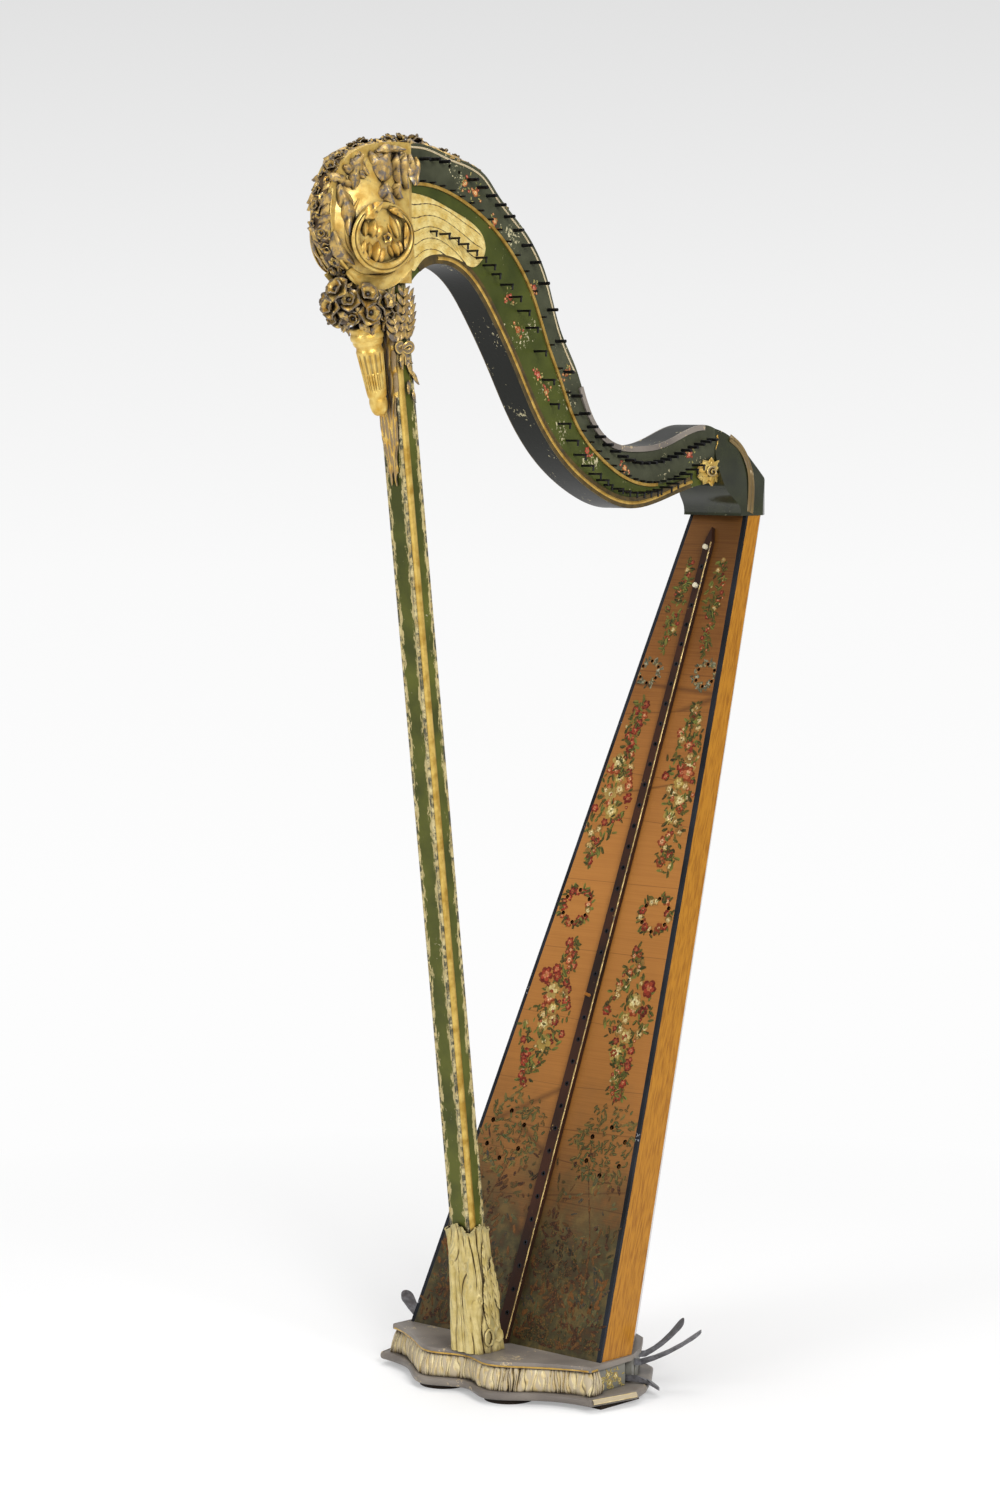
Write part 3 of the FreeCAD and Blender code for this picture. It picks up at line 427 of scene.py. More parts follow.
def facing(place: Sequence[float], outward: Sequence[float], heading: Sequence[float],
           scale: float = 1.0, flip: bool = False) -> Matrix:
    """Placement that sets a mould on a surface.

    Args:
        place: where the mould's origin goes, in millimetres.
        outward: the direction that the mould's Z takes.
        heading: roughly the direction that the mould's Y takes.
        scale: the copy's size against the mould's.
        flip: whether the copy is a mirror image.

    Returns:
        The placement, in metres.
    """
    z = Vector(outward).normalized()
    x = Vector(heading).cross(z).normalized()
    y = z.cross(x)
    turn = Matrix((x * (-1 if flip else 1), y, z)).transposed().to_4x4()
    return Matrix.Translation(Vector(place) * MM) @ turn @ Matrix.Scale(scale, 4)


def dress(piece: bpy.types.Object, finish: "Finish", body: str = "harp",
          replaces: Sequence[str] = ()) -> bpy.types.Object:
    """Give a piece its material, its body and the nodes it stands for."""
    piece.data.materials.clear()
    piece.data.materials.append(finish.material())
    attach(piece, body)
    if replaces:
        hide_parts(*replaces)
    log.info("%s: %d faces", piece.name, len(piece.data.polygons))
    return piece


def coat(finish: "Finish", *nodes: str) -> None:
    """Give the frame's own nodes a finish."""
    for node in nodes:
        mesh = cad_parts[node].data
        mesh.materials.clear()
        mesh.materials.append(finish.material())


# ------------------------------------------------------------------------------ finishes
@dataclass(frozen=True)
class Finish:
    """A surface finish, made into one material the first time that it is used."""

    name: str

    def material(self) -> bpy.types.Material:
        """The finish's material."""
        made = bpy.data.materials.get(self.name)
        if made is None:
            made = bpy.data.materials.new(self.name)
            made.use_nodes = True
            self.build(Graph(made.node_tree))
        return made

    def build(self, graph: Graph) -> None:
        """Add the finish's own nodes."""
        raise NotImplementedError


@dataclass(frozen=True)
class Gilding(Finish):
    """Water gilding over carved gesso: warm metal leaf, umber grime and painted shade in the cuts, worn to
    gesso on crests.
    """

    leaf: str = "#c79c40"
    bright: str = "#e4c672"
    worn: str = "#8f7c58"
    dirt_and_shade_colour: str = "#1c110a"
    wear: float = 0.44
    metallic: float = 0.65
    roughness: float = 0.38
    relief: bool = True

    def build(self, graph: Graph) -> None:
        """Leaf colour, grime and painted shade by the relief and by how enclosed a spot is, wear on the
        crests.
        """
        # the leaf's tone drifts over about 12 mm
        drift = graph.noise(80.0, 5.0)
        tone = graph.ramp(drift, (0.35, self.leaf), (0.62, self.bright))
        # painted shade, with some grime: near black where the spot is enclosed within 12 mm
        dirt_and_shade = graph.ramp(graph.open_air(0.012), (0.34, WHITE), (0.78, NONE))
        # rubbed patches some 9 mm across, with finer flakes at their edges
        worn = graph.calc("MULTIPLY", graph.noise(110.0, 8.0, 0.72), self.wear)
        if self.relief:
            relief = graph.attribute("relief")["Fac"]
            # the carving's low relief is darkened too, as painted shade in the cuts
            dirt_and_shade = graph.calc("MAXIMUM", dirt_and_shade, graph.ramp(relief, (0.06, WHITE), (0.34, NONE)))
            worn = graph.calc("MULTIPLY_ADD", graph.ramp(relief, (0.70, NONE), (1.0, WHITE)), 0.22, worn)
        rubbed = graph.ramp(worn, (0.27, NONE), (0.33, WHITE))
        colour = graph.mix(dirt_and_shade, graph.mix(rubbed, tone, self.worn), self.dirt_and_shade_colour)
        shine = graph.remap(graph.calc("MAXIMUM", rubbed, dirt_and_shade), to_low=self.metallic, to_high=0.0)
        # burnished and dull patches go with the tone's drift
        polish = graph.remap(drift, 0.3, 0.7, self.roughness + 0.14, self.roughness - 0.10)
        graph.shade({"Base Color": colour, "Metallic": shine, "Roughness": polish,
                     "Normal": graph.bump(graph.noise(700.0, 3.0), 0.25, 0.0006)})


@dataclass(frozen=True)
class OldPaint(Finish):
    """Oil paint over gesso, satin with age, chipped to the gesso in small flakes."""

    colour: str = "#46502f"
    second: str = "#5a6247"
    chip: str = "#b9b08c"
    chips: float = 0.30
    patch: float = 14.0
    roughness: float = 0.38
    dirt_and_shade_colour: str = "#1c1a12"
    shine: float = 0.2

    def colours(self, graph: Graph) -> Socket:
        """The paint's own colour before wear."""
        # the tone drifts over some 70 mm, as hand-laid paint does
        return graph.ramp(graph.noise(self.patch, 5.0), (0.38, self.colour), (0.62, self.second))

    def build(self, graph: Graph) -> None:
        """Paint, chips of up to some 4 mm, and grime with painted shade where the surface is enclosed."""
        worn = graph.calc("MULTIPLY", graph.noise(260.0, 4.0, 0.6), graph.noise(26.0, 3.0))
        chipped = graph.remap(worn, 0.44 - 0.1 * self.chips, 0.47 - 0.1 * self.chips)
        bare = graph.mix(chipped, self.colours(graph), self.chip)
        # painted shade, with some grime: darker where the surface is enclosed within 10 mm
        dirt_and_shade = graph.remap(graph.open_air(0.01), 0.25, 0.75, 0.85, 0.0)
        graph.shade({"Base Color": graph.mix(dirt_and_shade, bare, self.dirt_and_shade_colour), "Roughness": self.roughness,
                     "Specular IOR Level": self.shine, "Normal": graph.bump(worn, 0.35, 0.0008)})


@dataclass(frozen=True)
class NeckPaint(OldPaint):
    """The neck's paint: grey-green above the gilt fillet, mossy green below, near black inside."""

    upper: str = "#484a38"
    upper_second: str = "#37392a"
    inside: str = "#0f110a"
    line: tuple[tuple[float, float], ...] = ()

    def colours(self, graph: Graph) -> Socket:
        """Two greens, parted by the fillet's line over X and Z, and the dark underside."""
        lower = super().colours(graph)
        grey = graph.ramp(graph.noise(22.0, 6.0), (0.38, self.upper), (0.62, self.upper_second))
        (west, east), (low, high) = NECK_SPAN_X, NECK_SPAN_Z
        along, _, level = graph.parts(graph.place)
        line = graph.curve(graph.remap(along, west, east), [
            ((x * MM - west) / (east - west), (z * MM - low) / (high - low)) for x, z in self.line])
        above = graph.calc("GREATER_THAN", graph.remap(level, low, high), line)
        sides = graph.mix(above, lower, grey)
        sideways = graph.calc("ABSOLUTE", graph.parts(graph.coords["Normal"])[1])
        return graph.mix(graph.calc("LESS_THAN", sideways, 0.6), sides, self.inside)


@dataclass(frozen=True)
class ColumnPaint(OldPaint):
    """The column's green, flaked to cream gesso in a band by each corner."""

    half: float = 0.016

    def colours(self, graph: Graph) -> Socket:
        """Green with flakes some 6 mm wide and 20 mm long that grow towards the corners."""
        green = super().colours(graph)
        upright = graph.mapped(graph.place, Location=(-(COLUMN_FOOT + DECK_TOP * LEAN) * MM, 0.0, 0.0))
        x, y, z = graph.parts(upright)
        leant = graph.calc("MULTIPLY_ADD", z, LEAN, x)
        inner = graph.calc("MINIMUM", graph.calc("ABSOLUTE", leant), graph.calc("ABSOLUTE", y))
        edge = graph.remap(inner, 0.001, self.half, 0.0, 0.42)
        flakes = graph.noise(170.0, 9.0, 0.75, graph.mapped(graph.place, Scale=(1.0, 1.0, 0.3)))
        return graph.mix(graph.remap(graph.calc("ADD", edge, flakes), 0.76, 0.80), green, "#b3a372")


@dataclass(frozen=True)
class Varnish(Finish):
    """Clear glossy varnish over softwood: long grain with darker late-wood lines."""

    wood: str = "#b26a1e"
    grain: str = "#8f4c12"
    lines: tuple[float, float, float] = (420.0, 420.0, 9.0)
    turn: tuple[float, float, float] = (0.0, 0.0, 0.0)
    roughness: float = 0.22
    coat: float = 0.5
    shine: float = 0.22

    def build(self, graph: Graph) -> None:
        """Grain lines, the marks of age and a coat."""
        turned = graph.mapped(graph.place, Rotation=self.turn)
        lines = graph.noise(1.0, 6.0, over=graph.mapped(turned, Scale=self.lines))
        tone = graph.ramp(lines, (0.32, self.grain), (0.58, self.wood))
        graph.shade({"Base Color": self.age(graph, turned, tone), "Roughness": self.roughness,
                     "Specular IOR Level": self.shine, "Coat Weight": self.coat,
                     "Coat Roughness": 0.12, "Normal": graph.bump(lines, 0.15, 0.0004)})

    def age(self, graph: Graph, turned: Socket, tone: Socket) -> Socket:
        """Darkened spots in the varnish, some 20 mm apart."""
        return graph.mix(graph.remap(graph.noise(45.0, 7.0, 0.65), 0.62, 0.74, 0.0, 0.7), tone, self.grain)


@dataclass(frozen=True)
class BoardVarnish(Varnish):
    """The soundboard: spruce with its grain across, browner near the top, smoked dark at the foot."""

    def age(self, graph: Graph, turned: Socket, tone: Socket) -> Socket:
        """Tones along the board, cracks across it, and foliage shading over the lowest quarter."""
        height = graph.parts(turned)[2]
        shift = graph.calc("MULTIPLY_ADD", graph.noise(11.0, 6.0, 0.6), 0.22, height)
        along = graph.remap(shift, 0.11, 1.34)
        tint = graph.ramp(
            along, (0.0, "#1c1c16"), (0.08, "#27231a"), (0.16, "#3a2c1c"), (0.25, "#684626"),
            (0.34, "#925f2b"), (0.56, "#a86f34"), (0.72, "#8e5a29"), (0.84, "#653a17"), (0.96, "#3c200c"))
        smoke = graph.noise(30.0, 8.0, 0.7)
        foliage = graph.calc("MULTIPLY", smoke, graph.remap(along, 0.14, 0.34, 1.0, 0.0))
        green = graph.ramp(smoke, (0.40, "#20211a"), (0.52, "#3d3c26"), (0.64, "#5f4e2c"))
        shaded = graph.mix(graph.remap(foliage, 0.22, 0.46, 0.0, 0.85), graph.mix(0.30, tint, tone), green)
        # hairline cracks across the board, some 90 mm apart
        cells = graph.add("TexVoronoi", {"Vector": graph.mapped(turned, Scale=(0.5, 0.5, 11.0)),
                                         "Scale": 1.0, "Randomness": 1.0},
                          feature="DISTANCE_TO_EDGE", voronoi_dimensions="3D").outputs["Distance"]
        return graph.mix(graph.remap(cells, 0.0, 0.006, 0.55, 0.0), shaded, "#38200f")


@dataclass(frozen=True)
class Iron(Finish):
    """Forged iron, blackened or rubbed grey, with a fine hammered skin."""

    colour: str = "#1b1b1d"
    second: str = "#2f2f31"
    metallic: float = 0.8
    roughness: float = 0.45

    def build(self, graph: Graph) -> None:
        """Two tones over some 6 mm and a hammered bump of 1.5 mm."""
        tone = graph.ramp(graph.noise(160.0, 6.0), (0.40, self.colour), (0.62, self.second))
        graph.shade({"Base Color": tone, "Metallic": self.metallic, "Roughness": self.roughness,
                     "Normal": graph.bump(graph.noise(650.0, 2.0), 0.3, 0.0005)})


@dataclass(frozen=True)
class Dabs(Finish):
    """Oil colour laid in dabs, each with its own pigment, dulled and crackled by old varnish."""

    def build(self, graph: Graph) -> None:
        """Pigment from the dab's own attribute, broken by fine crackle and rubbed thin."""
        # crackle islands about 2 mm across
        thin = graph.remap(graph.noise(420.0, 5.0, 0.7), 0.48, 0.66, 0.0, 0.55)
        colour = graph.mix(thin, graph.attribute("pigment")["Color"], "#8a5a30")
        graph.shade({"Base Color": colour, "Roughness": 0.4, "Specular IOR Level": 0.15})



# The neck's outlines in X and Z, shared by its paint and its trims.
EXTRADOS = [(-197, 1621), (-166, 1620), (-127, 1610), (-88, 1601), (-57, 1587), (-35, 1565), (-9, 1542),
            (19, 1518), (58, 1465), (89, 1389), (118, 1343), (149, 1280), (186, 1248), (240, 1240),
            (288, 1244), (327, 1256), (365, 1267), (406, 1263)]
INTRADOS = [(-197, 1447), (-180, 1462), (-155, 1472), (-128, 1471), (-96, 1457), (-53, 1412), (-5, 1342),
            (36, 1277), (89, 1219), (156, 1177), (224, 1157), (292, 1166), (362, 1184), (406, 1188)]
GILT_FILLET = [(-190, 1571), (-139, 1566), (-104, 1554), (-69, 1537), (-9, 1490), (32, 1435), (60, 1375),
               (86, 1326), (119, 1267), (172, 1221), (240, 1191), (305, 1191), (352, 1208)]

GILT = Gilding("water_gilding_on_carved_wood")
SMOOTH_GILT = Gilding("smooth_water_gilding", leaf="#b58f3e", bright="#d4b768", worn="#9d8656", wear=0.50,
                      metallic=0.5, roughness=0.44, relief=False)
LINE_GILT = Gilding("gilt_line", leaf="#a67f30", bright="#cda856", wear=0.46, relief=False)
PALE_GILT = Gilding("pale_worn_gilding", leaf="#c0a873", bright="#dccda0", worn="#b3a488",
                    dirt_and_shade_colour="#35261a", wear=0.50, metallic=0.12, roughness=0.5)
NECK_GREEN = NeckPaint("neck_two_tone_paint", colour="#353c16", second="#4a501f", chips=0.6,
                       line=tuple([(-220, 1574)] + GILT_FILLET + [(406, 1222), (580, 1222)]))
COLUMN_GREEN = ColumnPaint("column_flaked_paint", colour="#3c4015", second="#55581f", chips=0.1)
PANEL_GREY = OldPaint("base_panel_paint", colour="#65655c", second="#7d7b72", chip="#b9a878", chips=0.75)
MOULD_GREY = OldPaint("worn_grey_moulding", colour="#6d6660", second="#857d74", chip="#b9a684", chips=0.9)
# dark brown for the sole board and the feet under the plinth
DARK = OldPaint("dark_brown_wood", colour="#2a1a12", second="#3a2518", chip="#5a4030", chips=0.1,
                roughness=0.6)
BLACK = OldPaint("black_edging_paint", colour="#15171b", second="#22252b", chip="#8f8f93", chips=0.05,
                 roughness=0.25)
BOARD = BoardVarnish("soundboard_varnished_spruce", wood="#9d6a30", grain="#7f521f",
                     lines=(9.0, 9.0, 620.0), turn=(0.0, -SLOPE, 0.0), roughness=0.42, coat=0.05)
ORANGE = Varnish("orange_varnished_staves", wood="#b0771f", grain="#8f5a10", turn=(0.0, -SLOPE, 0.0),
                 roughness=0.3, coat=0.12)
BARE = Varnish("bare_inner_spruce", wood="#b99868", grain="#9a7a4c", roughness=0.7, coat=0.0)
BAR_PAINT = OldPaint("string_bar_paint", colour="#241711", second="#3c2216", chip="#8d7346", chips=0.35,
                     patch=9.0)
BLACK_IRON = Iron("blackened_iron")
GREY_IRON = Iron("rubbed_grey_iron", colour="#5d5c5e", second="#77767a", metallic=0.7, roughness=0.42)
PAINTED = Dabs("painted_flowers")
BEAD_GILT = Gilding("column_bead_gilding", leaf="#a9842f", bright="#d2b25c", worn="#7a6230", wear=0.44,
                    metallic=0.5, relief=False)
EDGE_GILT = Gilding("column_edge_gilding", leaf="#a08a52", bright="#c9bb8a", worn="#3a3a28", wear=0.60,
                    metallic=0.2, relief=False)
SLEEVE_GILT = Gilding("sleeve_worn_gilding", leaf="#b5a05c", bright="#cdbb80", worn="#a89a68",
                      dirt_and_shade_colour="#43301a", wear=0.44, metallic=0.15, roughness=0.5)
WORN_GILT = Gilding("rubbed_gilding_on_flowers", leaf="#b98d3a", bright="#e0c070", worn="#74654e",
                    dirt_and_shade_colour="#170e07", wear=0.50, metallic=0.6, roughness=0.36)
LEAF_GILT = Gilding("rubbed_gilding_on_leaves", leaf="#9c7d44", bright="#cdac64", worn="#5f564e",
                    dirt_and_shade_colour="#120b07", wear=0.56, metallic=0.5, roughness=0.38)
BUD_GILT = Gilding("gilding_on_buds", leaf="#b98c38", bright="#dcb964", worn="#85704e", dirt_and_shade_colour="#1a1009",
                   wear=0.46, metallic=0.6, roughness=0.36)
DARK_GILT = Gilding("gilding_in_shade", leaf="#3c2a13", bright="#5a421e", worn="#43352a",
                    dirt_and_shade_colour="#120b06", wear=0.45, metallic=0.2, relief=False)
DULL_GILT = Gilding("browned_gilt_band", leaf="#3f3317", bright="#5c4a20", worn="#33301c", wear=0.50,
                    metallic=0.25, relief=False)
FINE_GILT = Gilding("fine_cut_gilding", leaf="#ccab55", bright="#e8d48c", worn="#b9a874", dirt_and_shade_colour="#33220d",
                    wear=0.44, metallic=0.35, roughness=0.42)
PALE_GILT_PLAIN = Gilding("bone_coloured_pegs", leaf="#c9bfa2", bright="#ddd4bb", metallic=0.0,
                          relief=False)
ELBOW_GREEN = OldPaint("elbow_green_paint", colour="#1e2114", second="#30341f", chips=0.1, roughness=0.16,
                       shine=0.5)
BEAD_BROWN = OldPaint("worn_brown_moulding", colour="#59482c", second="#7c6843", chip="#b9a684", chips=0.9)
# near black sleeves inside the sound holes: painted shade inside the box
HOLE_SHADE = OldPaint("painted_shade_hole_wall", colour="#120e0b", second="#1a1410", chips=-1.0, roughness=0.8, shine=0.0)
BAR_GILT = Gilding("worn_bar_line", leaf="#7d6231", bright="#b3985a", worn="#4a3820", wear=0.52,
                   metallic=0.3, relief=False)
BACK_VARNISH = Varnish("brown_varnished_back", wood="#7a4f18", grain="#583510", turn=(0.0, -SLOPE, 0.0))


# ------------------------------------------------------------------------------ carved ornament
@dataclass(frozen=True)
class Leaf:
    """A carved leaf: lobed outline, raised midrib and veins, and a tip that curls off its ground."""

    length: float = 40.0
    width: float = 22.0
    lobes: int = 4
    depth: float = 0.35
    swell: float = 4.0
    vein: float = 1.2
    curl: float = 7.0
    thick: float = 2.0
    back: float = 0.0

    def form(self, v: Floats, u: Floats) -> tuple[Floats, Floats, Floats, Floats]:
        """Across, along, up and relief of points of the blade."""
        outline = np.sin(np.pi * np.clip(0.06 + 0.94 * u, 0, 1)) ** 0.62 * (1.08 - 0.42 * u)
        slide = u - 0.10 * np.abs(v)
        lobe = np.abs(np.sin(np.pi * self.lobes * slide)) ** 0.7
        half = self.width / 2 * outline * (1 - self.depth * (1 - lobe) * np.abs(v) ** 0.5)
        across = half * v
        along = u + 0.09 * v * v * (1 - u)
        rib = np.exp(-(v / 0.16) ** 2)
        ridges = lobe * np.abs(v) ** 0.4
        up = (self.swell * (1 - v * v) * outline + self.vein * (ridges + 0.9 * rib)
              + self.curl * np.clip((u - 0.62) / 0.38, 0, 1) ** 2 - self.back * np.abs(v) ** 1.6)
        relief = np.clip(0.55 * ridges + 0.75 * rib + 0.35 * np.clip((u - 0.7) / 0.3, 0, 1), 0, 1)
        return across, along, up, relief

    def on(self, name: str, path: Path, columns: int = 14, rows: int = 26) -> bpy.types.Object:
        """The leaf laid along a path.

        Args:
            name: the new object's name.
            path: the line of the midrib and the direction off the ground.
            columns: faces across the blade.
            rows: faces along the blade.

        Returns:
            The leaf, with a thickness.
        """
        def shape(v: Floats, u: Floats) -> tuple[Floats, Floats]:
            """The blade's points along the path."""
            across, along, up, relief = self.form(v, u)
            return path.place(along, across, up), relief
        return thicken(carve(name, columns, rows, shape), self.thick, 0.0)

    def mould(self, name: str) -> bpy.types.Object:
        """The leaf by itself, along Y from the origin, to be copied."""
        path = Path([(0, 0, 0), (0, self.length / 2, 0), (0, self.length, 0)], [(0, 0, 1)])
        return self.on(name, path, 8, 14)


@dataclass(frozen=True)
class Flower:
    """A carved flower: rings of cupped petals round a button."""

    radius: float = 11.0
    petals: int = 5
    rings: int = 1
    cup: float = 5.0
    button: float = 0.24

    def mould(self, name: str) -> bpy.types.Object:
        """The flower by itself, facing Z at the origin, to be copied."""
        parts = []
        for ring in range(self.rings):
            reach = self.radius * (1 - 0.28 * ring)
            for k in range(self.petals):
                turn = 2 * math.pi * (k + 0.5 * ring) / self.petals
                parts.append(self.petal(reach, turn, ring))
        size = self.radius * self.button
        button = primitive("ico_sphere", subdivisions=2, radius=size * MM)
        button.scale = (1, 1, 0.8)
        button.location = (0, 0, (self.cup * 0.25 + 1.5 * self.rings) * MM)
        parts.append(settle(button))
        return join(name, parts)

    def petal(self, reach: float, turn: float, ring: int) -> bpy.types.Object:
        """One petal, turned to its place."""
        def shape(v: Floats, u: Floats) -> tuple[Floats, Floats]:
            """A cupped petal, its rim rolled outwards in the outer ring."""
            wide = reach * math.sin(math.pi / self.petals) * (1.12 + 0.16 * math.sin(9 * turn + ring))
            long = reach * (1 + 0.10 * math.sin(5 * turn + 2))
            across = wide * v * np.sin(np.pi * np.clip(0.10 + 0.74 * u, 0, 1)) ** 0.6
            along = long * (0.08 + 0.92 * u) - reach * 0.20 * v * v * u
            rolled = np.clip((u - 0.72) / 0.28, 0, 1) ** 2 * (1 if ring == 0 else 0.2)
            up = (self.cup * (u ** 1.3) * (0.8 + 0.9 * ring) + 0.22 * reach * ring
                  + 0.20 * reach * v * v * u - 0.12 * reach * np.exp(-(v / 0.22) ** 2) * u
                  - 0.55 * self.cup * rolled)
            c, s = math.cos(turn), math.sin(turn)
            relief = np.clip(0.05 + 0.75 * u + 0.35 * v * v * u, 0, 1)
            return np.stack([across * c - along * s, across * s + along * c, up], axis=1), relief
        return thicken(carve("petal", 6, 6, shape), 0.11 * self.radius, 0.0)


def lathe(name: str, profile: Sequence[tuple[float, float]], foot: Sequence[float],
          top: Sequence[float], columns: int = 96, rows: int = 90,
          flutes: Callable[[Floats, Floats], Floats] | None = None) -> bpy.types.Object:
    """A turned piece, with flutes cut into it.

    Args:
        name: the new object's name.
        profile: radius and height along the axis, in millimetres, from the foot up.
        foot: where height 0 lies.
        top: a point higher on the axis.
        columns: faces round the piece.
        rows: faces along its profile.
        flutes: takes the turn in radians and the height, and gives the depth cut there.

    Returns:
        The closed piece.
    """
    axis = (Vector(top) - Vector(foot)).normalized()
    side = axis.cross(Vector((1, 0, 0) if abs(axis.y) > 0.9 else (0, 1, 0))).normalized()
    other = axis.cross(side)
    outline = np.array(profile, float)
    runs = np.concatenate([[0], np.cumsum(np.linalg.norm(np.diff(outline, axis=0), axis=1))])
    runs /= runs[-1]

    def shape(v: Floats, u: Floats) -> tuple[Floats, Floats]:
        """The turned face, with its flutes."""
        radius = np.interp(u, runs, outline[:, 0])
        height = np.interp(u, runs, outline[:, 1])
        turn = np.pi * v
        cut = flutes(turn, height) if flutes else np.zeros_like(u)
        radius = np.maximum(radius - cut, 0)
        ring = np.outer(np.cos(turn) * radius, np.array(side)) + np.outer(
            np.sin(turn) * radius, np.array(other))
        # the flutes' low relief is darkened by the gilding, as painted shade in the flutes
        relief = 0.62 - 0.46 * np.clip(cut / 1.8, 0, 1)
        return np.array(foot) + np.outer(height, np.array(axis)) + ring, relief
    return weld(carve(name, columns, rows, shape))


def band(name: str, path: Path, width: Callable[[Floats], Floats], profile: Callable[[Floats], Floats],
         columns: int = 12, rows: int = 120, thick: float = 2.0) -> bpy.types.Object:
    """A moulding laid along a path, with one profile across it.

    Args:
        name: the new object's name.
        path: the moulding's middle line and outward direction.
        width: its width at each share of the length, in millimetres.
        profile: its height at each place across, from -1 to 1.
        columns: faces across.
        rows: faces along.
        thick: how thick the moulding is below its face.

    Returns:
        The moulding, with a back.
    """
    def shape(v: Floats, u: Floats) -> tuple[Floats, Floats]:
        """The moulding's face, its height from 0 to 1 as the relief."""
        height = profile(v)
        low, high = float(height.min()), float(height.max())
        return path.place(u, width(u) / 2 * v, height), (height - low) / max(high - low, 0.01)
    return thicken(carve(name, columns, rows, shape), thick)


def half_round(v: Floats) -> Floats:
    """A moulding's half-round profile, 1 high."""
    return np.sqrt(np.clip(1 - v * v, 0, 1))


def bead(height: float) -> Callable[[Floats], Floats]:
    """A half-round profile of a height in millimetres."""
    return lambda v: height * half_round(v)


def even(width: float) -> Callable[[Floats], Floats]:
    """A width that stays the same along a moulding."""
    return lambda u: np.full_like(u, width)


def spiral(count: int, start: float, sweep: float, wide: float,
           drawn: Callable[[float], float]) -> list[tuple[float, float, float]]:
    """Points of a spiral that draws in.

    Args:
        count: how many points.
        start: the first point's turn, in degrees.
        sweep: how far it turns, in degrees.
        wide: its first radius.
        drawn: takes the share of the length and gives how much smaller the radius is there.

    Returns:
        The share of the length, and the places across and up, of each point.
    """
    points = []
    for k in range(count):
        share = k / (count - 1)
        turn, reach = math.radians(start + sweep * share), wide - drawn(share)
        points.append((share, reach * math.cos(turn), reach * math.sin(turn)))
    return points


class Dab(NamedTuple):
    """One dab of colour: its root on a surface, size, turn in radians, height and pigment."""

    x: float
    y: float
    length: float
    width: float
    turn: float
    level: float
    colour: Colour


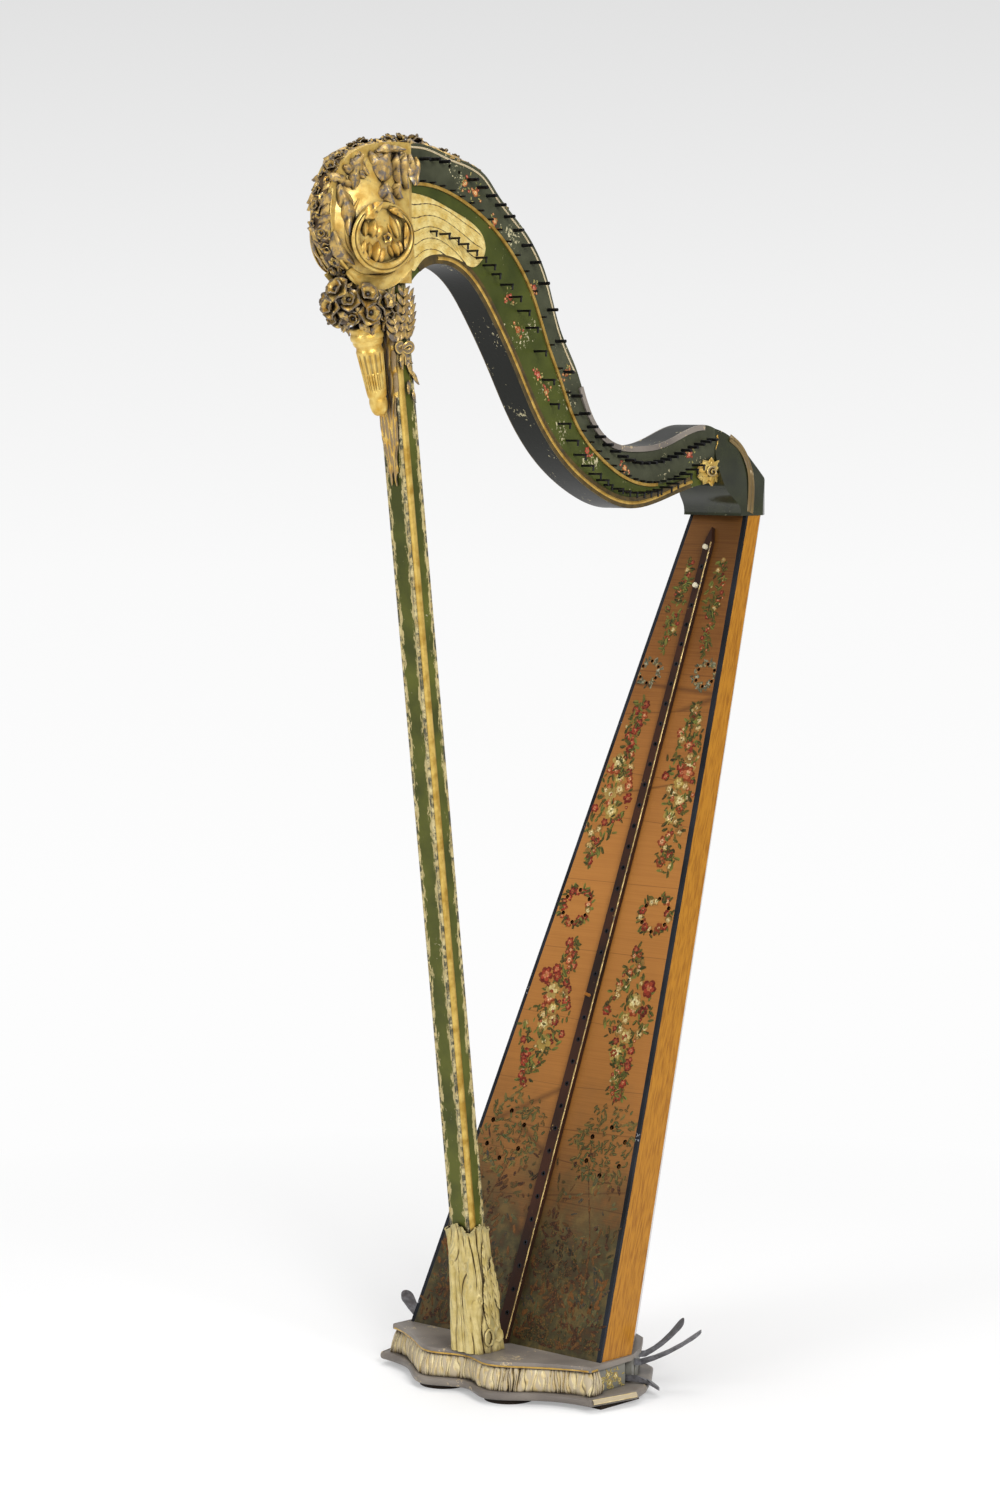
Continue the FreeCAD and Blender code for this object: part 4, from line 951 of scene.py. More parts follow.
class Brush:
    """Collects dabs of oil colour on one surface and lays them as one thin film."""

    def __init__(self, surface: Callable[[Floats, Floats, Floats], Floats], seed: int) -> None:
        """Keep the surface, which takes two places on it and a height, and seed the hand's spread."""
        self.surface = surface
        self.hand = np.random.default_rng(seed)
        self.dabs: list[Dab] = []
        self.level = 0.0

    def dab(self, x: float, y: float, length: float, width: float, turn: float, code: str) -> None:
        """One dab, from its root at a place, along a turn in radians."""
        tone = 1 + self.hand.normal(0, 0.10)
        colour = tuple(min(max(c * tone, 0), 1) for c in linear(code)[:3])
        self.level = self.level + 0.012 if self.level < 0.7 else 0.1
        self.dabs.append(Dab(x, y, length, width, turn, self.level, (*colour, 1.0)))

    def pick(self, choices: Sequence[object]) -> object:
        """One of several pigments or blooms, by chance."""
        return choices[int(self.hand.integers(len(choices)))]

    def rose(self, x: float, y: float, size: float, tones: Sequence[str]) -> None:
        """A rose: dark outer petals, then lighter ones towards a pale heart."""
        for ring, tone in enumerate(tones):
            reach = size * (1 - ring / (len(tones) + 0.5))
            count = 6 if ring == 0 else 5
            for k in range(count):
                turn = 2 * math.pi * (k / count) + ring * 0.6 + self.hand.uniform(-0.25, 0.25)
                root = reach * 0.22
                self.dab(x + root * math.cos(turn), y + root * math.sin(turn), reach * 0.62,
                         reach * 0.62, turn, tone)

    def leaf(self, x: float, y: float, length: float, turn: float, code: str, light: str) -> None:
        """A leaf with a lighter half."""
        self.dab(x, y, length, length * 0.42, turn, code)
        self.dab(x, y, length * 0.9, length * 0.16, turn + 0.12, light)

    def spray(self, x: float, y: float, height: float, width: float, lean: float, count: int,
              blooms: Sequence[Sequence[str]], greens: Sequence[str], bloom: float = 7.0) -> None:
        """An upright spray of roses, buds and leaves that leans sideways by a share of its height."""
        hand = self.hand

        def place(up: float) -> float:
            """A chance place across the spray, which is fullest at its middle."""
            full = math.cos(math.pi * up) ** 0.5 * (0.72 + 0.28 * math.cos(9 * up + x))
            return hand.uniform(-1, 1) * width / 2 * full + lean * up * height
        for _ in range(count * 9):
            up = hand.uniform(-0.49, 0.49)
            self.leaf(x + place(up), y + up * height, hand.uniform(6.0, 12.0),
                      hand.uniform(0, 2 * math.pi), self.pick(greens), self.pick(greens))
        for k in range(count * 2):
            up = (k + hand.uniform(0, 1)) / (count * 2) * 0.96 - 0.48
            size = bloom * (hand.uniform(0.85, 1.3) if k % 2 else hand.uniform(0.4, 0.7))
            self.rose(x + place(up), y + up * height, size, self.pick(blooms))

    def wreath(self, x: float, y: float, radius: float, count: int,
               blooms: Sequence[Sequence[str]], greens: Sequence[str], bloom: float) -> None:
        """A ring of leaves and small blooms."""
        hand = self.hand
        for k in range(count * 5):
            turn = 2 * math.pi * k / (count * 5)
            reach = radius * hand.uniform(0.76, 1.24)
            self.leaf(x + reach * math.cos(turn), y + reach * math.sin(turn), bloom * 1.1,
                      turn + hand.uniform(-1.4, 1.4), self.pick(greens), self.pick(greens))
        for k in range(count if blooms else 0):
            turn = 2 * math.pi * (k + 0.5) / count
            reach = radius * hand.uniform(0.86, 1.14)
            self.rose(x + reach * math.cos(turn), y + reach * math.sin(turn),
                      bloom * hand.uniform(0.7, 1.0), self.pick(blooms))

    def film(self, name: str) -> bpy.types.Object:
        """All the dabs as one object of small closed flakes."""
        round_dab = primitive("circle", vertices=8, radius=1.0, fill_type="NGON")
        outline = points_of(round_dab.data)[:, :2]
        discard(round_dab)
        outline[:, 0] = (outline[:, 0] + 1) / 2
        outline[:, 1] *= 0.5
        count = len(outline)
        points, colours, faces = [], [], []
        for i, (x, y, length, width, turn, level, colour) in enumerate(self.dabs):
            c, s = math.cos(turn), math.sin(turn)
            rough = self.hand.uniform(0.82, 1.12, count)
            along, across = outline[:, 0] * length * rough, outline[:, 1] * width * rough
            u, v = x + along * c - across * s, y + along * s + across * c
            top = self.surface(u, v, np.full(count, level * 0.6 + 0.05))
            foot = self.surface(u, v, np.full(count, 0.02))
            points += [top, foot]
            light = 1 + 0.25 * (outline[:, 0] - 0.5)
            shade = np.clip(np.outer(light, colour[:3]), 0, 1)
            colours += [shade, shade]
            first = 2 * count * i
            faces.append(tuple(range(first, first + count)))
            faces.append(tuple(reversed(range(first + count, first + 2 * count))))
            for k in range(count):
                after = (k + 1) % count
                faces.append((first + after, first + k, first + count + k, first + count + after))
        piece = new_piece(name, np.concatenate(points) * MM, faces)
        pigment = piece.data.attributes.new("pigment", "FLOAT_COLOR", "POINT")
        flat = np.c_[np.concatenate(colours), np.ones(len(piece.data.vertices))]
        pigment.data.foreach_set("color", flat.astype(np.float32).ravel())
        return piece


# ------------------------------------------------------------------------------ the studio
@dataclass
class Studio:
    """Floor, backdrop, soft lights and the camera."""

    camera_place: tuple[float, float, float] = (-3.6829, -3.3783, 1.2958)
    azimuth: float = -47.42
    pitch: float = -5.11
    lens: float = 92.3

    def build(self) -> None:
        """Set up the whole stage."""
        self.floor()
        self.world()
        self.light("key_softbox", (-2.4, -4.9, 3.4), 2.4, 290.0)
        self.light("fill_softbox", (-5.0, 0.8, 2.6), 2.0, 90.0)
        self.light("top_softbox", (0.4, 0.3, 4.6), 3.2, 80.0)
        deselect()
        bpy.ops.object.camera_add(location=self.camera_place, rotation=(
            math.radians(90 + self.pitch), 0.0, math.radians(self.azimuth)))
        camera = bpy.context.object
        camera.data.lens = self.lens
        camera.data.clip_end = 60.0
        bpy.context.scene.camera = camera

    def light(self, name: str, place: tuple[float, float, float], size: float, power: float) -> None:
        """One square softbox aimed at the middle of the harp."""
        deselect()
        bpy.ops.object.light_add(type="AREA", location=place)
        lamp = bpy.context.object
        lamp.name = name
        lamp.data.energy, lamp.data.size = power, size
        aim = Vector((0.0, 0.0, 0.8)) - Vector(place)
        lamp.rotation_euler = aim.to_track_quat("-Z", "Y").to_euler()

    def floor(self) -> None:
        """A pale floor that keeps the object's shadow and is white to the camera elsewhere."""
        floor = primitive("plane", size=30.0)
        floor.name = "studio_floor"
        paper = bpy.data.materials.new("pale_studio_paper")
        paper.use_nodes = True
        graph = Graph(paper.node_tree)
        shader = graph.shade({"Base Color": (0.93, 0.93, 0.93, 1.0), "Roughness": 0.9,
                              "Specular IOR Level": 0.0})
        away = graph.add("VectorMath", {0: graph.place}, operation="LENGTH").outputs["Value"]
        rays = graph.add("LightPath").outputs
        white = graph.calc("MAXIMUM", rays["Is Camera Ray"], rays["Is Glossy Ray"])
        share = graph.calc("MULTIPLY", white, graph.remap(away, 0.5, 1.8, 0.35, 1.0))
        glow = graph.add("Emission", {"Color": self.backdrop(graph)})
        mix = graph.add("MixShader", {0: share, 1: shader.outputs[0], 2: glow.outputs[0]})
        graph.feed("Material Output", {"Surface": mix.outputs[0]})
        floor.data.materials.append(paper)

    @staticmethod
    def backdrop(graph: Graph) -> Socket:
        """The paper's tone as the camera sees it: white below, light grey towards the top."""
        return graph.ramp(graph.parts(graph.coords["Window"])[1], (0.40, "#fdfdfd"), (0.62, "#fafafa"),
                          (0.80, "#f1f1f1"), (1.0, "#e2e2e2"))

    def world(self) -> None:
        """The lit paper behind the harp and the dim room behind the camera."""
        world = bpy.data.worlds.new("studio_air")
        bpy.context.scene.world = world
        world.use_nodes = True
        graph = Graph(world.node_tree)
        behind = graph.add("VectorMath", {0: graph.coords["Generated"], 1: (0.68, 0.72, 0.15)},
                           operation="DOT_PRODUCT").outputs["Value"]
        light = graph.remap(behind, -0.35, 0.5, 0.15, 0.60)
        camera = graph.add("LightPath").outputs["Is Camera Ray"]
        graph.feed("Background", {"Color": graph.mix(camera, light, self.backdrop(graph))})
        bpy.context.scene.view_settings.view_transform = "Standard"


# ------------------------------------------------------------------------------ sub-assemblies
def column_axis(level: float) -> Floats:
    """Point of the column's axis at a height, in millimetres."""
    return np.array([COLUMN_FOOT - LEAN * (level - DECK_TOP), 0.0, level])


def mirrored(piece: bpy.types.Object) -> bpy.types.Object:
    """Add a piece's mirror image on the other side of the mid-plane."""
    return modify(piece, "MIRROR", use_axis=(False, True, False), use_mirror_merge=False)


@dataclass
class Base:
    """Feet, sole, plinth, reeded rim, casing with its pedal slots, and deck."""

    foot_line: Sequence[tuple[float, float]] = (
        (-40, -189), (-43, -162), (-51, -135), (-72, -103), (-99, -53), (-79, 0))
    deck_line: Sequence[tuple[float, float]] = (
        (-27, -178), (-33, -158), (-43, -137), (-66, -98), (-88, -50), (-74, 0))
    casing_front: float = -6.0
    casing_side: float = 171.0
    foot_inset: float = 9.0
    deck_inset: float = 4.0
    rim_foot: float = 18.2
    rim_height: float = 30.6
    rim_recess: float = 2.2
    rim_thick: float = 5.0
    reeds: int = 200
    reed_pitch: float = 8.6
    reed_rise: float = 3.2
    bulge: float = 3.2
    lip_level: float = 50.4
    lip_inset: float = 0.6

    def front(self, half: Sequence[tuple[float, float]], inset: float, t: Floats) -> Floats:
        """Points of a base board's serpentine edge.

        Args:
            half: the edge on the left side, from the side to the middle.
            inset: how far the wanted line lies inside it.
            t: places along the whole front, from 0 at the left casing to 1 at the right one.

        Returns:
            X and Y of each place.
        """
        outer = [(x + inset, y + inset * (y < -150), 0.0) for x, y in half]
        outer += [(x, -y, 0.0) for x, y, _ in reversed(outer[:-1])]
        side = 0.06
        points = Curve(outer).at((t - side) / (1 - 2 * side))[:, :2]
        for end, share in ((0, 1 - t / side), (-1, (t - 1 + side) / side)):
            start_x = outer[end][0]
            points[:, 0] = np.where(share > 0, start_x + (self.casing_front - start_x) * share,
                                    points[:, 0])
        return points

    def rim(self) -> None:
        """The wall under the deck: hand-cut reeds that waver, with gaps between that the gilding darkens as
        painted shade.
        """
        hand = np.random.default_rng(3)
        rises = hand.uniform(0.55, 1.15, self.reeds)
        slants = hand.uniform(-0.9, 0.9, self.reeds)
        samples = np.linspace(0, 1, 1200)
        low = self.front(self.foot_line, self.foot_inset, samples)
        high = self.front(self.deck_line, self.deck_inset, samples)
        runs = np.concatenate([[0], np.cumsum(np.linalg.norm(np.diff(low, axis=0), axis=1))])

        def shape(v: Floats, u: Floats) -> tuple[Floats, Floats]:
            """The rim's face, with each reed's own width, height and slant."""
            run = np.interp(u, samples, runs)
            wide = 1.0 + 0.28 * np.sin(run * 0.11) + 0.2 * np.sin(run * 0.037 + 2)
            number = run / self.reed_pitch + 0.55 * np.sin(run * 0.09) + 0.16 * np.sin(v * 2.5 + run * 0.3)
            reed = np.floor(number).astype(int) % self.reeds
            number = number + slants[reed] * 0.16 * v
            reed = np.floor(number).astype(int) % self.reeds
            within = (number % 1.0) ** (0.75 + 0.5 * rises[reed])
            ridge = np.clip(np.sin(np.pi * within), 0, 1) ** 0.6
            straw = np.exp(-((within - 0.3 - 0.4 * slants[reed] ** 2) / 0.05) ** 2)
            ridge = np.clip(ridge - 0.45 * straw * (slants[reed] * v > -0.3), 0, 1)
            share = (v + 1) / 2
            line = np.stack([np.interp(u, samples, low[:, k]) * (1 - share)
                             + np.interp(u, samples, high[:, k]) * share for k in (0, 1)], axis=1)
            near = 0.002
            ahead = np.stack([np.interp(np.clip(u + near, 0, 1), samples, low[:, k])
                              - np.interp(np.clip(u - near, 0, 1), samples, low[:, k]) for k in (0, 1)],
                             axis=1)
            ahead /= np.linalg.norm(ahead, axis=1)[:, None]
            out = self.bulge * (1 - v * v) + self.reed_rise * ridge * rises[reed] * wide - self.rim_recess
            x, y = line[:, 0] - ahead[:, 1] * out, line[:, 1] + ahead[:, 0] * out
            return np.stack([x, y, self.rim_foot + self.rim_height * share], axis=1), ridge
        wall = thicken(carve("reeded_rim", 14, 980, shape), self.rim_thick)
        dress(smooth(wall, 60), PALE_GILT, replaces=("front_rim",))

    def lip(self) -> None:
        """The broken gilt line under the deck's edge."""
        t = np.linspace(0.02, 0.98, 61)
        line = self.front(self.deck_line, self.lip_inset, t)
        ahead = np.gradient(line, axis=0)
        outward = [(-dy, dx, 0.0) for dx, dy in ahead]
        path = Path([(x, y, self.lip_level) for x, y in line], outward)
        edge = band("deck_gilt_line", path, even(3.0), bead(1.1), 4, 240, 0.6)
        dress(smooth(edge), LINE_GILT)

    def plinth_strip(self) -> None:
        """The gilt strip along the plinth's left flank, and its fellow on the right."""
        path = Path([(-36, -190.2, 14.2), (-2, -197.6, 14.2), (33, -204.6, 14.2)], [(0.2, -1, 0.45)])
        strip = band("plinth_gilt_strip", path, even(7.5), bead(1.8), 6, 40, 1.0)
        dress(smooth(mirrored(strip)), PALE_GILT)

    def build(self) -> None:
        """Dress the base's nodes and make its trims."""
        coat(MOULD_GREY, "deck", "plinth")
        coat(PANEL_GREY, "base_casing")
        coat(DARK, "sole_board", "front_feet")
        self.rim()
        self.lip()
        self.plinth_strip()
        brush = Brush(lambda a, b, h: np.stack([a, -self.casing_side - h, b], axis=1), 21)
        for x, z, size in ((4, 32, 7.0), (15, 38, 6.0), (18, 27, 7.5), (30, 34, 6.5), (38, 27, 5.0)):
            brush.rose(x, z, size, ("#9a8650", "#c9b470", "#e2d29a"))
            for k in range(7):
                brush.leaf(x + brush.hand.uniform(-9, 9), z + brush.hand.uniform(-8, 8), 6.0,
                           brush.hand.uniform(0, FULL_TURN), "#8c8250", "#b8a868")
        dress(brush.film("casing_worn_flowers"), PAINTED)


@dataclass
class Column:
    """The square column with its gilt beads, carved sleeve, console and bouquet."""

    top: float = 1398.0
    half: float = 17.0
    flank_bead: float = 7.4
    edge_bead: float = 2.3
    bead_foot: float = 205.0
    corner: float = 14.4
    sleeve_foot: float = 56.0
    sleeve_height: float = 166.0
    sleeve_reach: tuple[float, float] = (29.0, 27.0)
    sleeve_top: float = 21.0
    ridges: int = 13
    flutes: int = 13
    leaf_length: float = 196.0

    def beads(self) -> None:
        """A broad gilt bead along each flank, and a thin flaked one along each corner."""
        start, end = column_axis(self.bead_foot), column_axis(self.top)
        corners = [(x, y) for x in (-self.corner, self.corner) for y in (-self.corner, self.corner)]
        for name, spots, radius, finish in (
                ("column_flank_beads", ((-7.5, -12.0), (-7.5, 12.0)), self.flank_bead, BEAD_GILT),
                ("column_edge_beads", corners, self.edge_bead, EDGE_GILT)):
            rods = []
            for spot in spots:
                bead_rod = primitive("cylinder", vertices=16, radius=radius * MM,
                                     depth=(end[2] - start[2]) * MM)
                flat = points_of(bead_rod.data)
                share = (flat[:, 2] / ((end[2] - start[2]) * MM) + 0.5)[:, None]
                spine = (start * (1 - share) + end * share) * MM
                flat[:, :2] += spine[:, :2] + np.array(spot) * MM
                flat[:, 2] = spine[:, 2]
                bead_rod.data.vertices.foreach_set("co", flat.ravel())
                rods.append(bead_rod)
            beads = edit(join(name, rods), lambda: bpy.ops.mesh.subdivide(number_cuts=5))
            dress(smooth(beads, 40), finish)

    def sleeve(self) -> None:
        """The sleeve at the column's foot, carved as a tree trunk: long bark ridges, knots, a torn rim."""
        hand = np.random.default_rng(7)
        phase, steps = hand.uniform(0, FULL_TURN, 12), hand.uniform(0.55, 1.25, 64)
        knots = [(side * math.radians(turn), share, wide) for side in (-1, 1) for turn, share, wide in (
            (66, 0.13, 7.5), (150, 0.72, 4.0), (118, 0.43, 4.5), (30, 0.55, 4.0))]

        def shape(v: Floats, u: Floats) -> tuple[Floats, Floats]:
            """The trunk's skin, from its spread foot to its torn rim."""
            turn = np.pi * v
            square = (np.abs(np.cos(turn)) ** 5 + np.abs(np.sin(turn)) ** 5) ** (-1 / 5)
            level = self.sleeve_foot + self.sleeve_height * u
            centre = COLUMN_FOOT - LEAN * (level - DECK_TOP)
            reach_x, reach_y = (foot + (self.sleeve_top - foot) * u ** 0.8 for foot in self.sleeve_reach)
            # grain: every ridge wanders and a few split or run together
            bend = 0.42 * np.sin(4.2 * u + phase[0] + turn) + 0.20 * np.sin(9.5 * u + phase[1] + 3 * turn)
            pull, ringed = np.zeros_like(u), np.zeros_like(u)
            for at, share, wide in knots:
                off_x = np.angle(np.exp(1j * (turn - at))) * self.sleeve_reach[1]
                off_z = (u - share) * self.sleeve_height
                away = np.hypot(off_x / 0.8, off_z / 1.25)
                pull += np.sign(off_x) * np.exp(-(away / (2.2 * wide)) ** 2) * wide / 7.5
                ringed = np.maximum(ringed, np.exp(-((away - wide) / 1.9) ** 2) * (wide / 5)
                                    - 1.5 * np.exp(-(away / (0.62 * wide)) ** 2))
            lobes = self.ridges * v / 2 + bend + 0.55 * pull
            broad = np.abs(np.sin(np.pi * lobes)) ** 0.75 * steps[np.floor(lobes).astype(int) % len(steps)]
            fine = np.abs(np.sin(np.pi * (lobes * 3.0 + 1.6 * np.sin(5 * u + phase[2])))) ** 0.8
            split = np.exp(-((np.abs(np.sin(np.pi * lobes)) / 0.22) ** 2)) * np.clip(
                np.sin(7.5 * u + phase[3] + 5.0 * np.floor(lobes)) - 0.1, 0, 1)
            flare = 2.4 * np.clip((u - 0.93) / 0.07, 0, 1) ** 2
            rise = 3.0 * broad + 0.9 * fine + 2.2 * ringed - 2.6 * split + flare - 2.0
            tips = 12.0 * (np.abs(np.sin(2 * turn + 0.25 * np.sin(3 * turn))) ** 0.7 * -1 + 0.75) * np.clip(
                (u - 0.6) / 0.4, 0, 1) ** 1.5
            tips = tips + 1.6 * np.sin(9 * turn + 1) * np.clip((u - 0.8) / 0.2, 0, 1)
            x = centre + (reach_x * square + rise) * np.cos(turn)
            y = (reach_y * square + rise) * np.sin(turn)
            relief = np.clip(0.18 + 0.42 * broad + 0.22 * fine + 0.2 * ringed - 0.7 * split
                             + 0.5 * np.clip((u - 0.95) / 0.05, 0, 1), 0, 1)
            return np.stack([x, y, level + tips], axis=1), relief
        tube = thicken(weld(carve("trunk_sleeve", 330, 150, shape)), 2.4)
        sleeve = join("trunk_sleeve", [tube, mirrored(join("fronds", self.fronds()))])
        dress(smooth(sleeve, 60), SLEEVE_GILT, replaces=("column_sleeve",))

    def fronds(self) -> list[bpy.types.Object]:
        """The curled ring low on the sleeve's left flank, and the fronds that grow up from it."""
        def spot(x: float, z: float, off: float = 0.0) -> tuple[float, float, float]:
            """A place on the sleeve's left flank, or off it."""
            share = (z - self.sleeve_foot) / self.sleeve_height
            return x, -(28.2 - 6.2 * share ** 0.8 + off), z
        pieces = []
        for run, width in ((((-58, 90), (-61, 120), (-66, 154)), 14),
                           (((-48, 100), (-54, 134), (-59, 170)), 13),
                           (((-38, 112), (-46, 146), (-54, 184)), 12),
                           (((-58, 140), (-63, 172), (-68, 206)), 12)):
            path = Path([spot(x, z, 0.8) for x, z in run], [(0, -1, 0.05)])
            frond = Leaf(width=width, lobes=5, depth=0.3, swell=1.6, vein=1.6, curl=2.5, thick=1.6)
            pieces.append(frond.on("frond", path, 14, 30))
        coil = [spot(-59 + 0.85 * across, 76 + 1.25 * up, 1.6)
                for _, across, up in spiral(26, -60, 400, 9.5, lambda share: 2.0 * share)]
        pieces.append(band("ring", Path(coil, [(0, -1, 0.05)]), lambda u: 4.5 - 1.5 * u, bead(2.6),
                           8, 90, 2.0))
        return pieces

    def console(self) -> None:
        """The stop-fluted cone under the head, with a ball tip and a moulded cap."""
        profile = [(0, 0), (5, 0.6), (7.5, 2.2), (10, 6.5), (11.2, 12), (11.6, 17), (11.2, 21), (10.8, 23),
                   (12, 25), (12.6, 29), (17.2, 83), (16.2, 86), (16, 89), (18, 91), (19.4, 94), (19, 96.5),
                   (21, 99), (21.4, 102), (20.6, 105), (19.5, 107.5), (20.5, 110), (21.4, 112.5), (21, 115),
                   (0, 115)]

        def depth(turn: Floats, height: Floats) -> Floats:
            """Depth of the flutes, each filled by a rounded stop in its lower half."""
            phase = (turn / (2 * np.pi) * self.flutes) % 1.0
            away = np.abs(phase - 0.5) * 2
            inside = np.clip((height - 31) / 4, 0, 1) * np.clip((82 - height) / 3, 0, 1)
            hollow = np.sqrt(np.clip(1 - (away / 0.66) ** 2, 0, 1)) * 1.8
            stop = np.clip((56 - height) / 2, 0, 1) * np.sqrt(np.clip(1 - (away / 0.30) ** 2, 0, 1)) * 1.5
            return inside * np.maximum(hollow - stop, 0)
        cone = lathe("fluted_console", profile, (-228, 0, 1282), (-256, 0, 1397), 182, 120, depth)
        dress(smooth(cone, 40), GILT, replaces=("console",))

    def bouquet(self) -> None:
        """Roses, buds and leaves that fill the space between the cap and the scroll."""
        hand = np.random.default_rng(11)
        rose = Flower(radius=15, petals=5, rings=2, cup=4.5, button=0.26).mould("bouquet_rose")
        bud = Flower(radius=9, petals=4, rings=2, cup=4.5, button=0.3).mould("bouquet_bud")
        leaf = Leaf(length=21, width=11, lobes=2, depth=0.25, swell=2.6, curl=4.5).mould("bouquet_leaf")
        heart = np.array([-268.0, 0.0, 1414.0])
        spots = [(-310, -6, 1437, 1.05), (-312, 3, 1416, 1.0), (-301, -18, 1424, 0.95),
                 (-293, -17, 1402, 0.95), (-277, -29, 1409, 0.95), (-280, -27, 1430, 1.0),
                 (-258, -34, 1422, 1.05), (-256, -31, 1405, 0.8), (-299, 6, 1403, 0.85),
                 (-240, -31, 1414, 0.8)]
        roses, buds, leaves = [], [], []
        for k, (x, y, z, scale) in enumerate(spots):
            for side in ((-1, 1) if abs(y) > 10 else (1,)):
                spot = np.array([x, -y * side if abs(y) > 10 else y, z])
                out = spot - heart
                out[2] = out[2] * 0.7 + 3
                unit = out / np.linalg.norm(out)
                turn = hand.uniform(0, FULL_TURN)
                heading = (math.cos(turn), math.sin(turn), 0.7)
                (buds if k in (3, 7) else roses).append(
                    facing(spot, out, heading, scale * hand.uniform(0.92, 1.05)))
                for _ in range(4):
                    turn = hand.uniform(0, FULL_TURN)
                    away = np.array([math.cos(turn) * 0.8, math.sin(turn), math.sin(turn * 2)])
                    away -= unit * np.dot(away, unit)
                    leaves.append(facing(spot + away * 7 - unit * 6, unit * 14 + away * 9, away,
                                         hand.uniform(0.7, 1.05)))
        blooms = join("bouquet_roses", [cast("roses", rose, roses), cast("rosebuds", bud, buds)])
        foliage = cast("bouquet_leaves", leaf, leaves)
        balls = []
        for x, y, z, radius in ((-258, 0, 1418, 25), (-286, 0, 1413, 20), (-303, 0, 1426, 14),
                                (-274, -18, 1415, 16), (-274, 18, 1415, 16), (-252, -24, 1422, 15),
                                (-252, 24, 1422, 15)):
            balls.append(settle(primitive("ico_sphere", subdivisions=3, radius=radius * MM,
                                          location=(x * MM, y * MM, z * MM))))
        ground = join("bouquet_ground", balls)
        dress(smooth(ground), DARK_GILT, replaces=("bouquet",))
        dress(smooth(blooms, 40), WORN_GILT)
        dress(smooth(foliage, 40), LEAF_GILT)
        discard(rose, bud, leaf)

    def front_leaf(self) -> None:
        """The gilt leaf down the column's front face below the console, lapped over its corners."""
        def shape(v: Floats, u: Floats) -> tuple[Floats, Floats]:
            """The leaf's face, bent round both front corners, with a scalloped foot."""
            level = self.top - (self.leaf_length - 9 * np.cos(2.2 * np.pi * v)) * u
            centre = COLUMN_FOOT - LEAN * (level - DECK_TOP)
            across = (21.5 - 13.5 * u ** 1.6 + 1.2 * np.sin(19 * u)) * v
            front, ground = np.abs(across) <= self.half, 17.4
            x = np.where(front, centre - ground, centre - ground + (np.abs(across) - self.half))
            y = np.where(front, across, np.sign(across) * ground)
            slide = u * 6 + 0.9 * np.abs(v) + 0.3 * np.sin(5 * v)
            ridge = np.abs(np.sin(np.pi * slide)) ** 0.7
            rib = np.abs(np.cos(2.5 * np.pi * v + 2 * u)) ** 0.8
            relief = np.clip(0.10 + 0.5 * ridge + 0.5 * rib, 0, 1)
            rise = 3.4 * relief * (1 - 0.4 * u)
            return np.stack([x - rise * np.where(front, 1.0, 0.4),
                             y + np.sign(y) * rise * np.where(front, 0.0, 1.0), level], axis=1), relief
        leaf = thicken(carve("column_front_leaf", 40, 130, shape), 1.2)
        dress(smooth(leaf, 60), BUD_GILT)

    def laurel(self) -> None:
        """Laurel sprays beside the bouquet, with a ribbon bow and its garland below, on both sides."""
        leaf = Leaf(length=22, width=9, lobes=1, depth=0.0, swell=2.2, curl=3.0).mould("laurel_leaf")
        places = []
        stems = (((-222, -21, 1372), (-234, -27, 1400), (-246, -34, 1430)),
                 ((-217, -21, 1374), (-216, -24, 1402), (-214, -26, 1434)),
                 ((-205, -20, 1376), (-200, -22, 1404), (-203, -24, 1430)))
        for stem in stems:
            curve = Curve(stem)
            for i in range(6):
                t = 0.04 + 0.9 * i / 5
                spot, ahead = curve.at([t])[0], curve.along([t])[0]
                for side in (-1, 1):
                    heading = ahead + side * np.array([0.75, -0.12, 0.0])
                    places.append(facing(spot + np.array([0, -1.5, 0]), (0.1 * side, -1, 0.15), heading,
                                         1.0 - 0.25 * t))
        for spot, heading, scale in (((-207, -19, 1364), (1.0, -0.3, 0.35), 0.8),
                                     ((-211, -19, 1366), (-0.8, -0.5, 0.5), 0.8),
                                     ((-206, -19, 1362), (0.75, -0.3, -0.8), 0.9),
                                     ((-210, -19, 1360), (-0.2, -0.4, -1.0), 1.0),
                                     ((-199, -18, 1350), (0.35, -0.1, -1.0), 0.9),
                                     ((-190, -18, 1337), (0.5, -0.1, -0.9), 0.85),
                                     ((-196, -18, 1326), (-0.3, -0.2, -1.0), 0.85),
                                     ((-189, -18, 1314), (0.1, -0.2, -1.0), 0.75)):
            places.append(facing(spot, (0.15, -1, 0.1), heading, scale))
        sprays = mirrored(cast("laurel_sprays", leaf, places))
        dress(smooth(sprays, 40), LEAF_GILT)
        discard(leaf)
        loops = []
        for sign in (-1, 1):
            path = Path([(-209, -20, 1366), (-209 + sign * 8, -25, 1372), (-209 + sign * 14, -24, 1368),
                         (-209 + sign * 8, -22, 1362), (-209, -20, 1365)], [(0, -1, 0.2)])
            loops.append(band(f"loop_{sign}", path, lambda u: 5.5 + 2.5 * np.sin(np.pi * u),
                              lambda v: 0.8 * (1 - v * v), 6, 32, 1.4))
        for x, z in ((-201, 1346), (-214, 1348)):
            path = Path([(-209, -20, 1364), ((x - 209) / 2 + 1, -21, (z + 1364) / 2), (x, -19, z)],
                        [(0, -1, 0.1)])
            loops.append(band("tail", path, lambda u: 4.5 + 1.5 * u, lambda v: 0.8 * (1 - v * v),
                              6, 20, 1.2))
        bow = mirrored(join("ribbon_bow", loops))
        dress(smooth(bow, 50), WORN_GILT)

    def build(self) -> None:
        """Dress the column and carve its ornament."""
        coat(COLUMN_GREEN, "column_shaft")
        self.beads()
        self.sleeve()
        self.console()
        self.bouquet()
        self.front_leaf()
        self.laurel()


